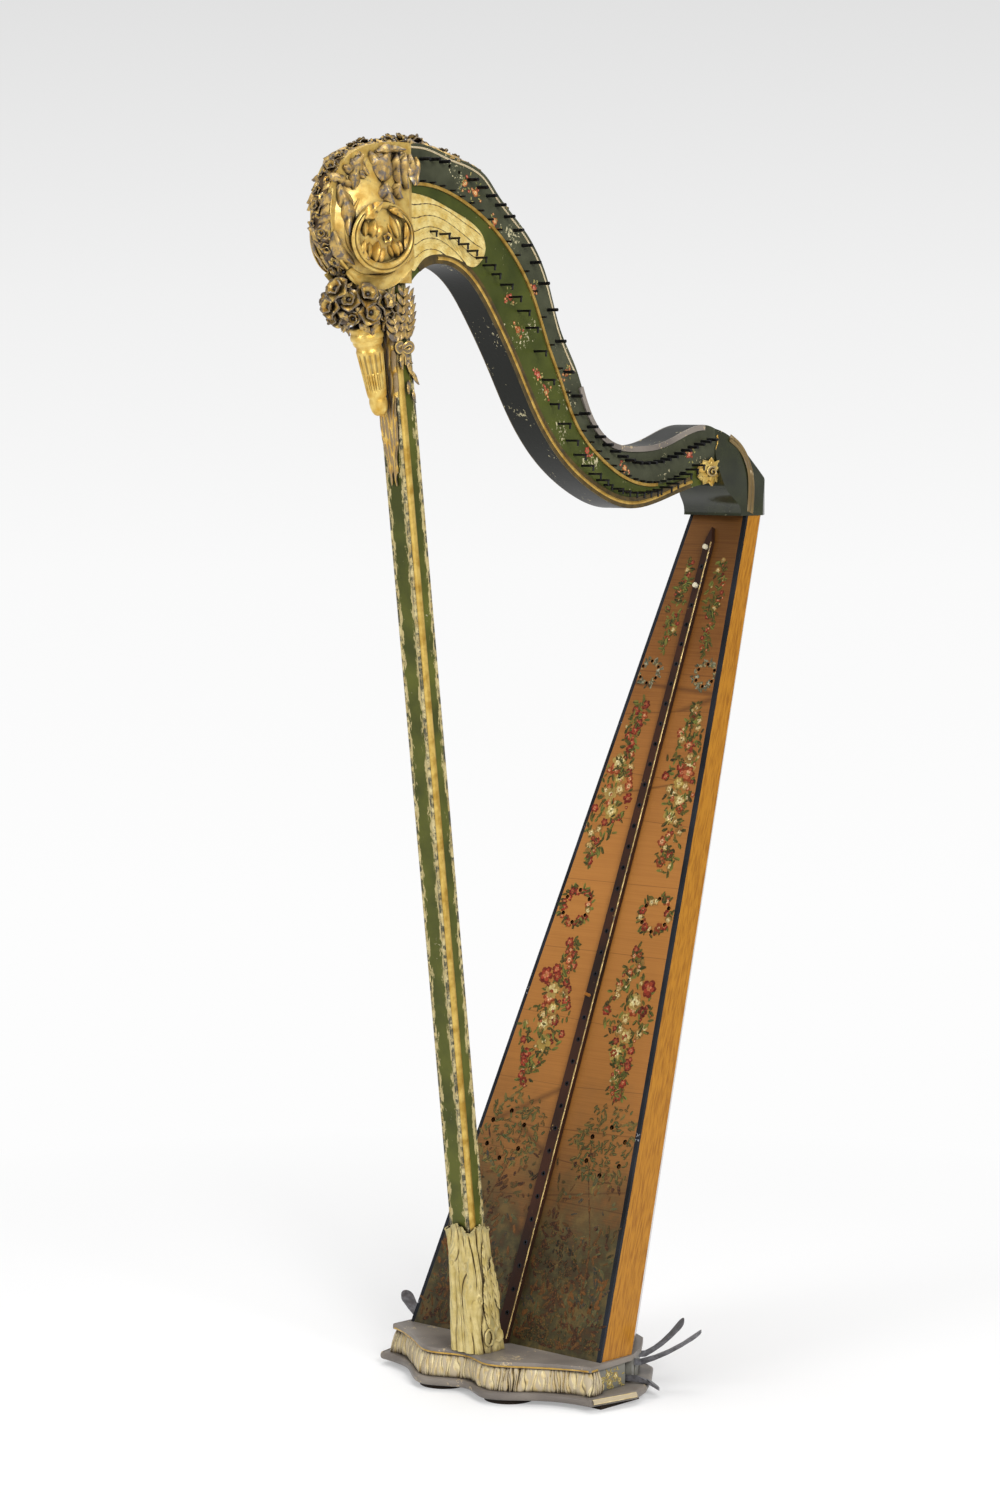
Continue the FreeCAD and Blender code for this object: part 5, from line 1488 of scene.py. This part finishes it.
@dataclass
class Soundbox:
    """Varnished box with its painted board, string bar, black edging and orange staves."""

    roses: Sequence[tuple[float, float, float]] = ((90, 273, 33), (71, 599, 23), (50, 940, 16))
    bores: Sequence[float] = (6.4, 5.4, 4.2)
    board_half: float = 164.0
    board_taper: float = 0.1023
    bar_half: float = 12.5
    bar_taper: float = 0.004
    bar_face: float = 7.0
    first_hole: float = 38.0
    holes: int = 37
    least_pitch: float = 28.2
    pitch_growth: float = 0.11
    peg_holes: Sequence[int] = (34, 36)
    hole_margin: float = 3.0

    @staticmethod
    def point(u: Floats, v: Floats, w: Floats) -> Floats:
        """Points u across the board, v up along it and w in front of it."""
        return np.stack([v * math.sin(SLOPE) - w * math.cos(SLOPE), u,
                         DECK_TOP + v * math.cos(SLOPE) + w * math.sin(SLOPE)], axis=1)

    def on_board(self, u: float, v: float, w: float) -> Matrix:
        """Placement of a copy u across the board, v up along it and w in front of it."""
        spot = self.point(np.array([u]), np.array([v]), np.array([w]))[0]
        return facing(spot, OFF_BOARD, (0, 1, 0))

    def paintings(self) -> None:
        """Wreaths round the sound holes, hanging bouquets between them and foliage at the foot."""
        brush = Brush(self.point, 5)
        for side in (-1, 1):
            self.garlands(brush, side)
        self.foliage(brush)
        brush.dabs = [dab for dab in brush.dabs if self.free(dab)]
        dress(brush.film("board_paintings"), PAINTED)

    def garlands(self, brush: Brush, side: int) -> None:
        """The wreaths and bouquets of one side."""
        blooms = (("#5c1a14", "#8a3022", "#b06a4a"), ("#743018", "#a25a38", "#c49a70"),
                  ("#7c5e30", "#a98d56", "#c9b987"), ("#4e1814", "#782a20", "#9a4a34"))
        pale = (("#4a4f40", "#767a66", "#a9a98f"), ("#565238", "#8f8762"))
        cream = (("#8a7438", "#b09c5c", "#cfc08a"), ("#8f7840", "#b8a56c", "#d2c692"))
        greens = ("#2c3518", "#424b22", "#626a30", "#232a16", "#4b4a20")
        for (across, up, radius), share, count, flowers, leaves, bloom in zip(
                self.roses, (1.25, 0.97, 1.0), (9, 16, 12), ((), blooms, pale),
                (("#3b3f24", "#56512b", "#6d5c33"), greens, ("#2f3526", "#4c5240", "#767a64")),
                (11, 8.5, 6.5)):
            brush.wreath(side * across, up, radius * share, count, flowers, leaves, bloom)
        for u, v, height, width, lean, count in ((70, 446, 215, 84, -0.13, 26),
                                                 (58, 777, 245, 70, -0.08, 26),
                                                 (33, 1040, 140, 32, -0.05, 12)):
            full = count > 12
            brush.spray(side * u, v, height, width, side * lean, count, blooms, greens,
                        8.0 if full else 5.0)
            for k in range(4 if full else 0):
                brush.rose(side * (u + 9 * (k % 2) - 5), v - 40 + 24 * k, 15.0 - 2 * (k % 3), cream[k % 2])
            for k in range(3 if full else 0):
                brush.rose(side * (u + 22 - 16 * k), v + 52 - 30 * k, 16.0 - 2 * k, blooms[k])

    @staticmethod
    def foliage(brush: Brush) -> None:
        """Dark foliage over the board's foot, and a bent stem with its crown on each side."""
        hand = brush.hand
        tones = ("#1e1f18", "#2c2d1e", "#403a22", "#33231a", "#4f3820", "#464830", "#2f332c", "#5c3d20")
        for _ in range(1900):
            up = 6 + 330 * hand.uniform(0, 1) ** 1.3
            across = hand.uniform(-1, 1) * (158 - 0.10 * up)
            # masses of foliage some 70 mm wide, one tone each
            mass = (math.sin(across * 0.045 + 1.7 * math.sin(up * 0.021))
                    + math.sin(up * 0.05 + across * 0.02))
            if hand.uniform() < max((up - 130) / 150, 0.8 * (up > 110 and mass > 0.55)):
                continue
            tone = tones[int(np.clip((mass + 2) * 1.9 + hand.normal(0, 0.9), 0, 7.9))]
            brush.dab(across, up, hand.uniform(6, 17), hand.uniform(2.5, 6.5), hand.uniform(0, 3.1), tone)
        for side in (-1, 1):
            for k in range(34):
                t = k / 33
                brush.dab(side * (112 - 38 * t + 8 * math.sin(5 * t)), 62 + 205 * t, 13, 3.4 - 2 * t,
                          math.pi / 2 + side * 0.3, "#4a3520")
            for _ in range(190):
                turn, reach = hand.uniform(0, FULL_TURN), 62 * hand.uniform(0, 1) ** 0.6
                brush.leaf(side * 86 + reach * math.cos(turn), 282 + 0.9 * reach * math.sin(turn), 8.0,
                           hand.uniform(0, FULL_TURN), "#34371f",
                           brush.pick(("#5f5a30", "#4c5a34", "#6d5026")))

    def free(self, dab: Dab) -> bool:
        """Whether a dab keeps off the string bar, the board's edges and the sound holes."""
        across_half = dab.length * abs(math.cos(dab.turn)) * 0.5
        if abs(dab.x) < self.bar_half - self.bar_taper * dab.y + across_half:
            return False
        if abs(dab.x) > self.board_half - self.board_taper * dab.y - 0.5 * dab.length:
            return False
        middle_x = abs(dab.x + dab.length / 2 * math.cos(dab.turn))
        middle_y = dab.y + dab.length / 2 * math.sin(dab.turn)
        for across, up, radius in self.roses:
            x, y = middle_x - across, middle_y - up
            hole = round(math.atan2(x, y) / HOLE_TURN) * HOLE_TURN
            away = math.hypot(x - radius * math.sin(hole), y - radius * math.cos(hole))
            if away < self.hole_margin + 0.36 * dab.length:
                return False
        return True

    def bar_line(self) -> None:
        """The worn gilt line along the string bar's edge, on the player's left."""
        top = (SHOULDER - DECK_TOP) / math.cos(SLOPE) - 42
        ends = self.point(np.array([-9.4, -5.4]), np.array([4.0, top]), np.full(2, self.bar_face))
        path = Path([tuple(ends[0]), tuple(ends.mean(axis=0)), tuple(ends[1])], [OFF_BOARD])
        line = band("string_bar_gilt_lines", path, even(2.0), bead(0.9), 4, 160, 0.5)
        dress(smooth(line), BAR_GILT)

    def hole_bushes(self) -> None:
        """A dark turned bush in each string hole of the bar."""
        bush = primitive("torus", major_radius=2.6 * MM, minor_radius=0.75 * MM, major_segments=14,
                         minor_segments=6)
        feet = [self.first_hole]
        for left in reversed(range(self.holes - 1)):
            feet.append(feet[-1] + self.least_pitch + self.pitch_growth * left)
        places = [self.on_board(0, v, self.bar_face + 0.1) for i, v in enumerate(feet)
                  if i not in self.peg_holes]
        ring = cast("string_hole_bushes", bush, places)
        discard(bush)
        dress(smooth(ring), BLACK)

    def hole_linings(self) -> None:
        """The wall of each sound hole, a thin near-black sleeve inside it, as painted shade."""
        sleeves = []
        for (across, up, radius), bore in zip(self.roses, self.bores):
            sleeve = thicken(primitive("cylinder", vertices=20, radius=(bore / 2 + 0.25) * MM,
                                       depth=2.4 * MM, end_fill_type="NOTHING"), 0.6)
            places = [self.on_board(side * across + radius * math.sin(k * HOLE_TURN),
                                    up + radius * math.cos(k * HOLE_TURN), -1.1)
                      for side in (-1, 1) for k in range(6)]
            sleeves.append(cast(f"linings_{bore}", sleeve, places))
            discard(sleeve)
        dress(smooth(join("sound_hole_shade_linings", sleeves)), HOLE_SHADE)

    def build(self) -> None:
        """Dress the soundbox's nodes and paint its board."""
        coat(BOARD, "soundboard")
        coat(BAR_PAINT, "string_bar")
        coat(BLACK, "board_binding")
        coat(ORANGE, "side_staves")
        coat(BACK_VARNISH, "back_staves")
        coat(BARE, "inner_bar", "foot_block", "top_block", "box_ribs")
        coat(PALE_GILT_PLAIN, "string_pegs")
        self.paintings()
        self.bar_line()
        self.hole_bushes()
        self.hole_linings()


@dataclass
class Neck:
    """The curved neck with its gilt lines, engraved wing, painted sprigs and elbow."""

    face: float = 22.0
    rosette: tuple[float, float] = (398.0, 1202.0)

    def wing(self) -> None:
        """The gilt wing over the neck's head end, engraved with fine feather lines that fan out."""
        upper = Curve([(-219, 0, 1549), (-213, 0, 1557), (-195, 0, 1559), (-168, 0, 1555), (-136, 0, 1545),
                       (-109, 0, 1535), (-82, 0, 1523), (-68, 0, 1512), (-62, 0, 1498), (-62, 0, 1491)])
        lower = Curve([(-219, 0, 1478), (-206, 0, 1468), (-195, 0, 1462), (-187, 0, 1468), (-176, 0, 1478),
                       (-160, 0, 1484), (-136, 0, 1485), (-101, 0, 1476), (-84, 0, 1471), (-71, 0, 1477),
                       (-62, 0, 1490)])

        def shape(v: Floats, u: Floats) -> tuple[Floats, Floats]:
            """The wing's face: feathers between its two outlines, thicker at the root."""
            share = (v + 1) / 2
            spot = lower.at(u) * (1 - share)[:, None] + upper.at(u) * share[:, None]
            # long feathers fan from the root; each has a cut edge and barbs some 8 mm apart
            fan = share * 6.5 + 3.4 * u ** 1.2 - 4.2 * u * share + 0.12 * np.sin(11 * u)
            off_middle = np.abs(fan % 1.0 - 0.5)
            quill = np.clip((off_middle - 0.055) / 0.05, 0, 1)
            shaft = np.clip((np.abs(fan % 1.0) - 0.04) / 0.05, 0, 1)
            barbs = np.clip((np.abs((u * 19 + 3.0 * off_middle) % 1.0 - 0.5) - 0.09) / 0.10, 0, 1)
            relief = 0.62 * np.minimum(quill, 0.5 + 0.5 * shaft) * (0.55 + 0.45 * barbs) + 0.01
            round_off = np.clip((1 - np.abs(v)) * 9, 0, 1) * np.clip((1 - u) * 16, 0, 1)
            rise = (0.5 + 1.5 * relief) * np.sqrt(round_off)
            rise = (rise + 1.5 + 12.0 * np.clip(1 - u * 6.5, 0, 1) ** 1.6
                    * np.clip(1.6 - 1.2 * np.abs(v), 0, 1))
            return np.stack([spot[:, 0], -self.face - rise, spot[:, 2]], axis=1), relief
        wing = thicken(carve("neck_wing", 88, 330, shape), 1.2)
        dress(smooth(mirrored(wing), 50), FINE_GILT)

    def edge_line(self) -> None:
        """The pale gilt line along the neck's upper edge, and the bright one along the lower edge."""
        path = Path([(x - 3.0, -self.face - 0.1, z - 4.5) for x, z in EXTRADOS[:11]], [(0, -1, 0)])
        line = band("neck_edge_line", path, even(2.8), bead(0.9), 4, 200, 0.6)
        dress(smooth(mirrored(line)), PALE_GILT)
        curve = Curve([(x, 0, z) for x, z in INTRADOS[2:]])
        t = np.linspace(0.01, 0.93, 60)
        spots, ahead = curve.at(t), curve.along(t)
        low = Path([(x - 7.5 * dz, -self.face - 1.6, z + 7.5 * dx) for (x, _, z), (dx, _, dz)
                    in zip(spots, ahead)], [(0, -1, 0)])
        line = band("neck_lower_line", low, even(4.2), bead(0.9), 4, 260, 1.6)
        dress(smooth(mirrored(line)), LINE_GILT)

    def sprigs(self) -> None:
        """Worn painted roses along the neck and on the elbow."""
        brush = Brush(lambda a, b, h: np.stack([a, -self.face - h, b], axis=1), 9)
        blooms = (("#8e3a2c", "#b8604a", "#d79a80"), ("#9a5a34", "#c98e5c", "#e0c08a"))
        greens = ("#2f3d20", "#6b7444", "#9a945c")
        for x, z in ((-11, 1434), (43, 1334), (59, 1312), (98, 1337), (-96, 1576), (-77, 1564), (35, 1446),
                     (216, 1211), (351, 1228), (140, 1235), (-40, 1530), (4, 1392)):
            brush.rose(x, z, 6.0, brush.pick(blooms))
            for _ in range(6):
                brush.rose(x + brush.hand.uniform(-10, 10), z + brush.hand.uniform(-11, 11), 2.4,
                           brush.pick(blooms))
            for _ in range(9):
                brush.leaf(x + brush.hand.uniform(-11, 11), z + brush.hand.uniform(-12, 12), 4.5,
                           brush.hand.uniform(0, FULL_TURN), brush.pick(greens), greens[2])
        dress(brush.film("neck_sprigs"), PAINTED)

    def rosettes(self) -> None:
        """The carved scroll of leaves where the neck meets the elbow."""
        petal = Leaf(length=24, width=14, lobes=1, depth=0.1, swell=3.4, vein=1.6, curl=2.5,
                     thick=1.8).mould("rosette_petal")
        places = []
        mid_x, mid_z = self.rosette
        for count, start, step, x, y, off in ((8, 62, 34, mid_x + 4, -23.6, 3),
                                              (6, 30, 60, mid_x, -26.0, 1.5)):
            for k in range(count):
                turn = math.radians(start + step * k)
                out = np.array([math.cos(turn), 0.0, math.sin(turn)])
                scale = 0.72 + 0.28 * math.sin(math.pi * (k + 0.5) / 8) if count == 8 else 0.62
                places.append(facing(np.array([x, y, mid_z]) + out * off, (0, -1, 0), out, scale))
        leaves = cast("rosette_leaves", petal, places)
        disc = lathe("rosette_disc", [(0, 0), (19, 0), (19.3, 2), (18, 3.6), (15.5, 3.4), (14, 2.2),
                                      (0, 3.4)], (mid_x, -22, mid_z), (mid_x, -40, mid_z), 48, 24)
        line = [(mid_x + across, -29.0 - 2.0 * share, mid_z + up)
                for share, across, up in spiral(30, 60, 520, 9.0, lambda share: 7.0 * share)]
        coil = band("rosette_coil", Path(line, [(0, -1, 0)]), lambda u: 4.6 - 2.4 * u, bead(2.2),
                    8, 120, 1.5)
        rosette = join("shoulder_rosettes_carved", [disc, leaves, coil])
        rosette.scale, rosette.location = (1.3, 1, 0.82), (-0.126, 0, 0.218)
        rosette = mirrored(settle(rosette))
        discard(petal)
        dress(smooth(rosette, 50), GILT, replaces=("shoulder_rosettes",))

    def mouldings(self) -> None:
        """Two worn beads down each side of the elbow, and the wavy seam in front of them."""
        def beads(v: Floats) -> Floats:
            """Two rounds side by side."""
            return 1.9 * np.abs(np.sin(np.pi * (v + 1))) ** 0.8
        rear = Path([(439, -22.3, 1250), (463, -23.2, 1234), (471, -29.0, 1213), (463, -41.2, 1183),
                     (452, -49.0, 1160), (448, -51.0, 1147)],
                    [(0.0, -1, 0.1), (0.1, -1, 0.25), (0.1, -1, 0.35), (0.1, -1, 0.1)])
        edge = band("elbow_beads", rear, lambda u: 11 + 4 * u, beads, 16, 120, 2.0)
        dress(smooth(mirrored(edge), 50), BEAD_BROWN)
        bends = 13
        z = np.linspace(1254, 1186, bends)
        x = 410 + np.random.default_rng(13).uniform(-2.6, 2.6, bends)
        seam = Path([(a, -22.2, b) for a, b in zip(x, z)], [(0, -1, 0)])
        line = band("elbow_seam", seam, lambda u: 2.2 + 1.0 * np.sin(23 * u), bead(0.6), 6, 90, 0.4)
        dress(smooth(mirrored(line)), LINE_GILT)

    def build(self) -> None:
        """Dress the neck's nodes and make its ornament."""
        coat(NECK_GREEN, "neck_body", "neck_cover")
        coat(DULL_GILT, "intrados_band")
        coat(LINE_GILT, "gilt_fillet")
        coat(ELBOW_GREEN, "shoulder_block")
        coat(MOULD_GREY, "edge_bead")
        self.wing()
        self.edge_line()
        self.sprigs()
        self.rosettes()
        self.mouldings()


@dataclass
class Head:
    """The scroll head: lens-shaped cheeks with volutes, buds, hanging leaves and the crest."""

    swell: float = 150.0
    sunk: float = 100.0
    middle: tuple[float, float] = (-228.0, 1522.0)
    volute: tuple[float, float, float] = (-268.0, -46.4, 1502.0)
    volute_out: tuple[float, float, float] = (-0.2267, -0.9713, -0.0733)
    volute_radius: float = 43.0

    def cheek(self, x: Floats, z: Floats) -> Floats:
        """Half the head's thickness at places on its side."""
        away = (x - self.middle[0]) ** 2 + (z - self.middle[1]) ** 2
        lens = np.sqrt(np.maximum(self.swell ** 2 - away, 0)) - self.sunk
        spine = np.interp(x, [-341, -228, -197], [14, 24, 24])
        return np.minimum(np.maximum(lens, spine), np.interp(x, [-228, -197], [50, 25]))

    def laid(self, run: Sequence[tuple[float, float]], lift: float = 0.0) -> Path:
        """A path over the left cheek.

        Args:
            run: places that it passes, by X and Z.
            lift: how far it lies off the cheek.

        Returns:
            The path, with the cheek's outward directions.
        """
        spots = Curve([(x, 0, z) for x, z in run]).at(np.linspace(0, 1, 9))
        x, z = spots[:, 0], spots[:, 2]
        step = 3
        rise_x = (self.cheek(x + step, z) - self.cheek(x - step, z)) / (2 * step)
        rise_z = (self.cheek(x, z + step) - self.cheek(x, z - step)) / (2 * step)
        points = np.stack([x, -self.cheek(x, z) - lift, z], axis=1)
        outward = np.stack([-rise_x, -np.ones_like(x), -rise_z], axis=1)
        return Path([tuple(p) for p in points], [tuple(n) for n in outward])

    def on_volute(self, across: float, up: float, off: float = 0.0) -> Floats:
        """A point of the left volute's face plane, or off it."""
        return (np.array(self.volute) + across * np.array([0.974, -0.227, 0.0])
                + up * np.array([-0.017, -0.071, 0.997]) + off * np.array(self.volute_out))

    def volutes(self) -> None:
        """The drum of each volute with its hollow, and the scrolled ring round it."""
        size = self.volute_radius
        drum = lathe("volute_drum", [(0, 0), (size, 0), (size, 17), (size - 1.5, 18), (37, 17.4),
                                     (34.5, 12), (33, 9), (0, 8)],
                     self.on_volute(0, 0, -17), self.on_volute(0, 0), 72, 34)
        ring = [self.on_volute(1.06 * across, 0.98 * up, 0.4)
                for _, across, up in spiral(40, 118, 325, 40.0, lambda share: 4.0 * share ** 2)]
        path = Path(ring, [self.volute_out])
        coil = band("volute_ring", path,
                    lambda u: 5.0 + 8.0 * np.sin(np.pi * np.clip(u * 1.25, 0, 1)) ** 0.8,
                    lambda v: 3.6 * half_round(v) - 2.4 * np.exp(-((v - 0.25) / 0.18) ** 2), 16, 220, 3.0)
        scrolls = mirrored(join("volute_scrolls", [drum, coil]))
        dress(smooth(scrolls, 50), SMOOTH_GILT, replaces=("volutes",))

    def buds(self) -> None:
        """Four rosebuds round a small flower in each volute's hollow, and the leaf over them."""
        petal = Leaf(length=21, width=13, lobes=1, depth=0.0, swell=6.5, vein=0.5, curl=-3.0, thick=1.6,
                     back=3.5).mould("bud_petal")
        wraps = [facing((side * 5.2, -10.5, -2.0 + 2.6 * (side == 0)), (side * 0.5, 0, 1),
                        (side * 0.20, 1, 0), 1.0 - 0.06 * abs(side)) for side in (-1, 1, 0)]
        bud = cast("volute_bud", petal, wraps)
        flower = Flower(radius=6, petals=5, rings=1, cup=1.5, button=0.4).mould("volute_flower")
        places = []
        for across, up, wide, tall, turn in ((-15, 11, 1.42, 1.10, -8), (14, 14, 0.86, 1.50, 22),
                                             (-9, -18, 1.28, 1.34, -14), (18, -12, 0.98, 1.02, 20)):
            heading = (self.on_volute(-math.sin(math.radians(turn)), math.cos(math.radians(turn)))
                       - self.on_volute(0, 0))
            place = facing(self.on_volute(across, up, -4.5), self.volute_out, heading)
            places.append(place @ Matrix.Diagonal((wide, tall, 1.25, 1)))
        heart = facing(self.on_volute(4, -1, 1.0), self.volute_out, (0, 0, 1))
        leaves = []
        for run, width in ((((-31, 22), (-20, 32), (-8, 42)), 19), (((28, 18), (31, 2), (28, -14)), 7),
                           (((-30, -4), (-31, -16), (-24, -28)), 7), (((4, 33), (14, 32), (24, 24)), 8)):
            path = Path([self.on_volute(a, b, 1.5) for a, b in run], [self.volute_out])
            leaf = Leaf(width=width, lobes=2, depth=0.2, swell=3.6, vein=1.4, curl=2.0)
            leaves.append(leaf.on("bud_leaf", path))
        parts = [cast("buds", bud, places), cast("bud_flowers", flower, [heart]), *leaves]
        discard(bud, petal, flower)
        dress(smooth(mirrored(join("volute_buds", parts)), 50), BUD_GILT)

    def hanging_leaves(self) -> None:
        """Long leaves that hang from the rim over each cheek."""
        runs = (((-247, 1603), (-256, 1588), (-265, 1570), 21),
                ((-262, 1568), (-261, 1556), (-256, 1542), 15),
                ((-241, 1568), (-245, 1558), (-243, 1549), 10),
                ((-213, 1606), (-225, 1585), (-231, 1561), 12),
                ((-229, 1604), (-237, 1588), (-241, 1566), 10),
                ((-203, 1606), (-209, 1588), (-213, 1568), 10),
                ((-193, 1604), (-192, 1588), (-193, 1571), 11),
                ((-282, 1603), (-293, 1584), (-302, 1560), 15),
                ((-319, 1566), (-311, 1536), (-310, 1504), 14),
                ((-328, 1508), (-319, 1486), (-299, 1470), 13),
                ((-259, 1607), (-237, 1611), (-215, 1612), 11))
        leaves = []
        for k, (root, middle, tip, width) in enumerate(runs):
            leaf = Leaf(width=1.5 * width, lobes=1 + k % 3, depth=0.2, swell=4.6 + 0.14 * width, vein=1.8,
                        curl=5.5, thick=2.2, back=3.6)
            leaves.append(leaf.on(f"hanging_leaf_{k}", self.laid((root, middle, tip), 1.2), 12, 24))
        hand = np.random.default_rng(23)
        rim = Curve([(-318, 0, 1483), (-332, 0, 1512), (-334, 0, 1545), (-322, 0, 1574), (-303, 0, 1594),
                     (-276, 0, 1606), (-246, 0, 1612), (-212, 0, 1613)])
        for k in range(8):
            t = 0.40 + 0.6 * (k + hand.uniform(0.2, 0.8)) / 8
            root, ahead = rim.at([t])[0], rim.along([t])[0]
            inward = np.array([-250.0, 0.0, 1515.0]) - root
            way = inward / np.linalg.norm(inward) + ahead * hand.uniform(-0.9, 0.9)
            reach = hand.uniform(22, 34)
            run = [(root[0] + way[0] * reach * share, root[2] + way[2] * reach * share)
                   for share in (0, 0.5, 1)]
            leaf = Leaf(width=hand.uniform(14, 19), lobes=2, depth=0.22, swell=4.0, vein=1.6, curl=3.5,
                        thick=2.0, back=2.0)
            leaves.append(leaf.on(f"rim_leaf_{k}", self.laid(run, 0.2), 10, 18))
        dress(smooth(mirrored(join("hanging_leaves", leaves)), 50), LEAF_GILT)

    def scroll_band(self) -> None:
        """The smooth hollow band that sweeps under the volute, and the raised line beside the crest."""
        run = ((-303, 1460), (-292, 1453), (-277, 1448), (-259, 1447), (-240, 1453), (-224, 1468),
               (-209, 1484), (-203, 1503))
        sweep = band("scroll_sweep", self.laid(run, 0.5),
                     lambda u: 4 + 16 * np.sin(np.pi * np.clip(0.10 + 0.88 * u, 0, 1)) ** 1.3,
                     lambda v: 0.6 + 3.0 * np.abs(v) ** 2.4, 14, 160, 3.0)
        rim = ((-327, 1560), (-331, 1532), (-327, 1502), (-319, 1480), (-304, 1463))
        line = band("rim_line", self.laid(rim, 0.4), even(3.4), bead(1.6), 6, 90, 1.0)
        hollow = ((-297, 1548), (-309, 1520), (-308, 1493), (-294, 1474))
        shell = band("inner_sweep", self.laid(hollow, 0.3),
                     lambda u: 7 * np.sin(np.pi * np.clip(0.1 + 0.85 * u, 0, 1)), bead(1.5), 8, 80, 1.5)
        edge = join("scroll_band", [sweep, line, shell])
        dress(smooth(mirrored(edge), 50), SMOOTH_GILT)

    def crest(self) -> None:
        """The spine of small flowers and leaves over the head's rim and down the neck's back."""
        hand = np.random.default_rng(17)
        rose = Flower(radius=11.5, petals=5, rings=2, cup=3.6).mould("crest_rose")
        daisy = Flower(radius=7.5, petals=6, rings=1, cup=2.0, button=0.34).mould("crest_daisy")
        leaf = Leaf(length=21, width=14, lobes=1, depth=0.12, swell=3.4, curl=2.5,
                    back=2.0).mould("crest_leaf")
        line = Curve([(-282, 0, 1453), (-303, 0, 1463), (-321, 0, 1482), (-333, 0, 1499), (-337, 0, 1524),
                      (-334, 0, 1552), (-322, 0, 1580), (-301, 0, 1601), (-276, 0, 1611), (-250, 0, 1619),
                      (-220, 0, 1623), (-194, 0, 1624), (-166, 0, 1622), (-127, 0, 1612), (-88, 0, 1603),
                      (-57, 0, 1589), (-35, 0, 1567), (-9, 0, 1544), (8, 0, 1530)])
        roses, daisies, leaves = [], [], []
        count = 50
        for i in range(count):
            t = (i + hand.uniform(0.2, 0.8)) / count
            spot, ahead, out = line.at([t])[0], line.along([t])[0], self.outward(line, t)
            fade = 1.0 if t < 0.66 else 1.0 - 0.8 * (t - 0.66)
            side = (-1) ** i * hand.uniform(1, 8.5)
            place = spot + out * (1.0 + 1.6 * (t > 0.6)) + np.array([0, side, 0])
            lean = out + np.array([hand.uniform(-0.25, 0.25), side * 0.07, hand.uniform(-0.25, 0.25)])
            (roses if i % 5 in (0, 2) else daisies).append(
                facing(place, lean, ahead, fade * hand.uniform(0.65, 1.12)))
            for way in (-1, 1):
                heading = np.array([0, way, 0]) + ahead * hand.uniform(-1.6, 1.6)
                base = spot + out * hand.uniform(-0.5, 1.5) + np.array([0, way * hand.uniform(1, 8), 0])
                leaves.append(facing(base, out + np.array([0, 0.35 * way, 0]), heading,
                                     fade * hand.uniform(0.6, 1.05)))
        blooms = join("crest_flowers", [cast("roses", rose, roses), cast("daisies", daisy, daisies)])
        foliage = cast("crest_leaves", leaf, leaves)
        spread = np.linspace(0, 1, 40)
        ground = band("crest_ground", Path([tuple(p) for p in line.at(spread)],
                                           [tuple(self.outward(line, t)) for t in spread]),
                      lambda u: 25 - 8 * u, bead(2.0), 8, 150, 3.0)
        dress(smooth(ground), DARK_GILT, replaces=("flower_crest",))
        dress(smooth(blooms, 40), WORN_GILT)
        dress(smooth(foliage, 40), LEAF_GILT)
        discard(rose, daisy, leaf)

    @staticmethod
    def outward(line: Curve, t: float) -> Floats:
        """Direction off the rim at a place along the crest."""
        ahead = line.along([t])[0]
        out = np.array([-ahead[2], 0.0, ahead[0]])
        return out if np.dot(out, line.at([t])[0] - np.array([-250, 0, 1500])) > 0 else -out

    def build(self) -> None:
        """Dress the head and carve its ornament."""
        coat(SMOOTH_GILT, "head_scroll")
        self.volutes()
        self.buds()
        self.hanging_leaves()
        self.scroll_band()
        self.crest()


@dataclass
class Action:
    """Pins, hooks, rods and pedals."""

    notes: Sequence[str] = ("d", "c", "b", "e", "f", "g", "a")

    def build(self) -> None:
        """Dress the ironwork."""
        coat(BLACK_IRON, "tuning_pins", "nut_pins", *[f"hooks_{note}" for note in self.notes])
        coat(GREY_IRON, "pedal_brackets", "pivot_pins", "pedal_springs",
             *[f"pedal_{note}" for note in self.notes], *[f"rod_{note}" for note in self.notes])


def main() -> None:
    """Build every sub-assembly in order."""
    logging.basicConfig(level=logging.INFO, format="%(name)s: %(message)s")
    for part in (Studio(), Base(), Column(), Soundbox(), Neck(), Head(), Action()):
        part.build()
        log.info("%s built", type(part).__name__)


if __name__ == "__main__":
    main()
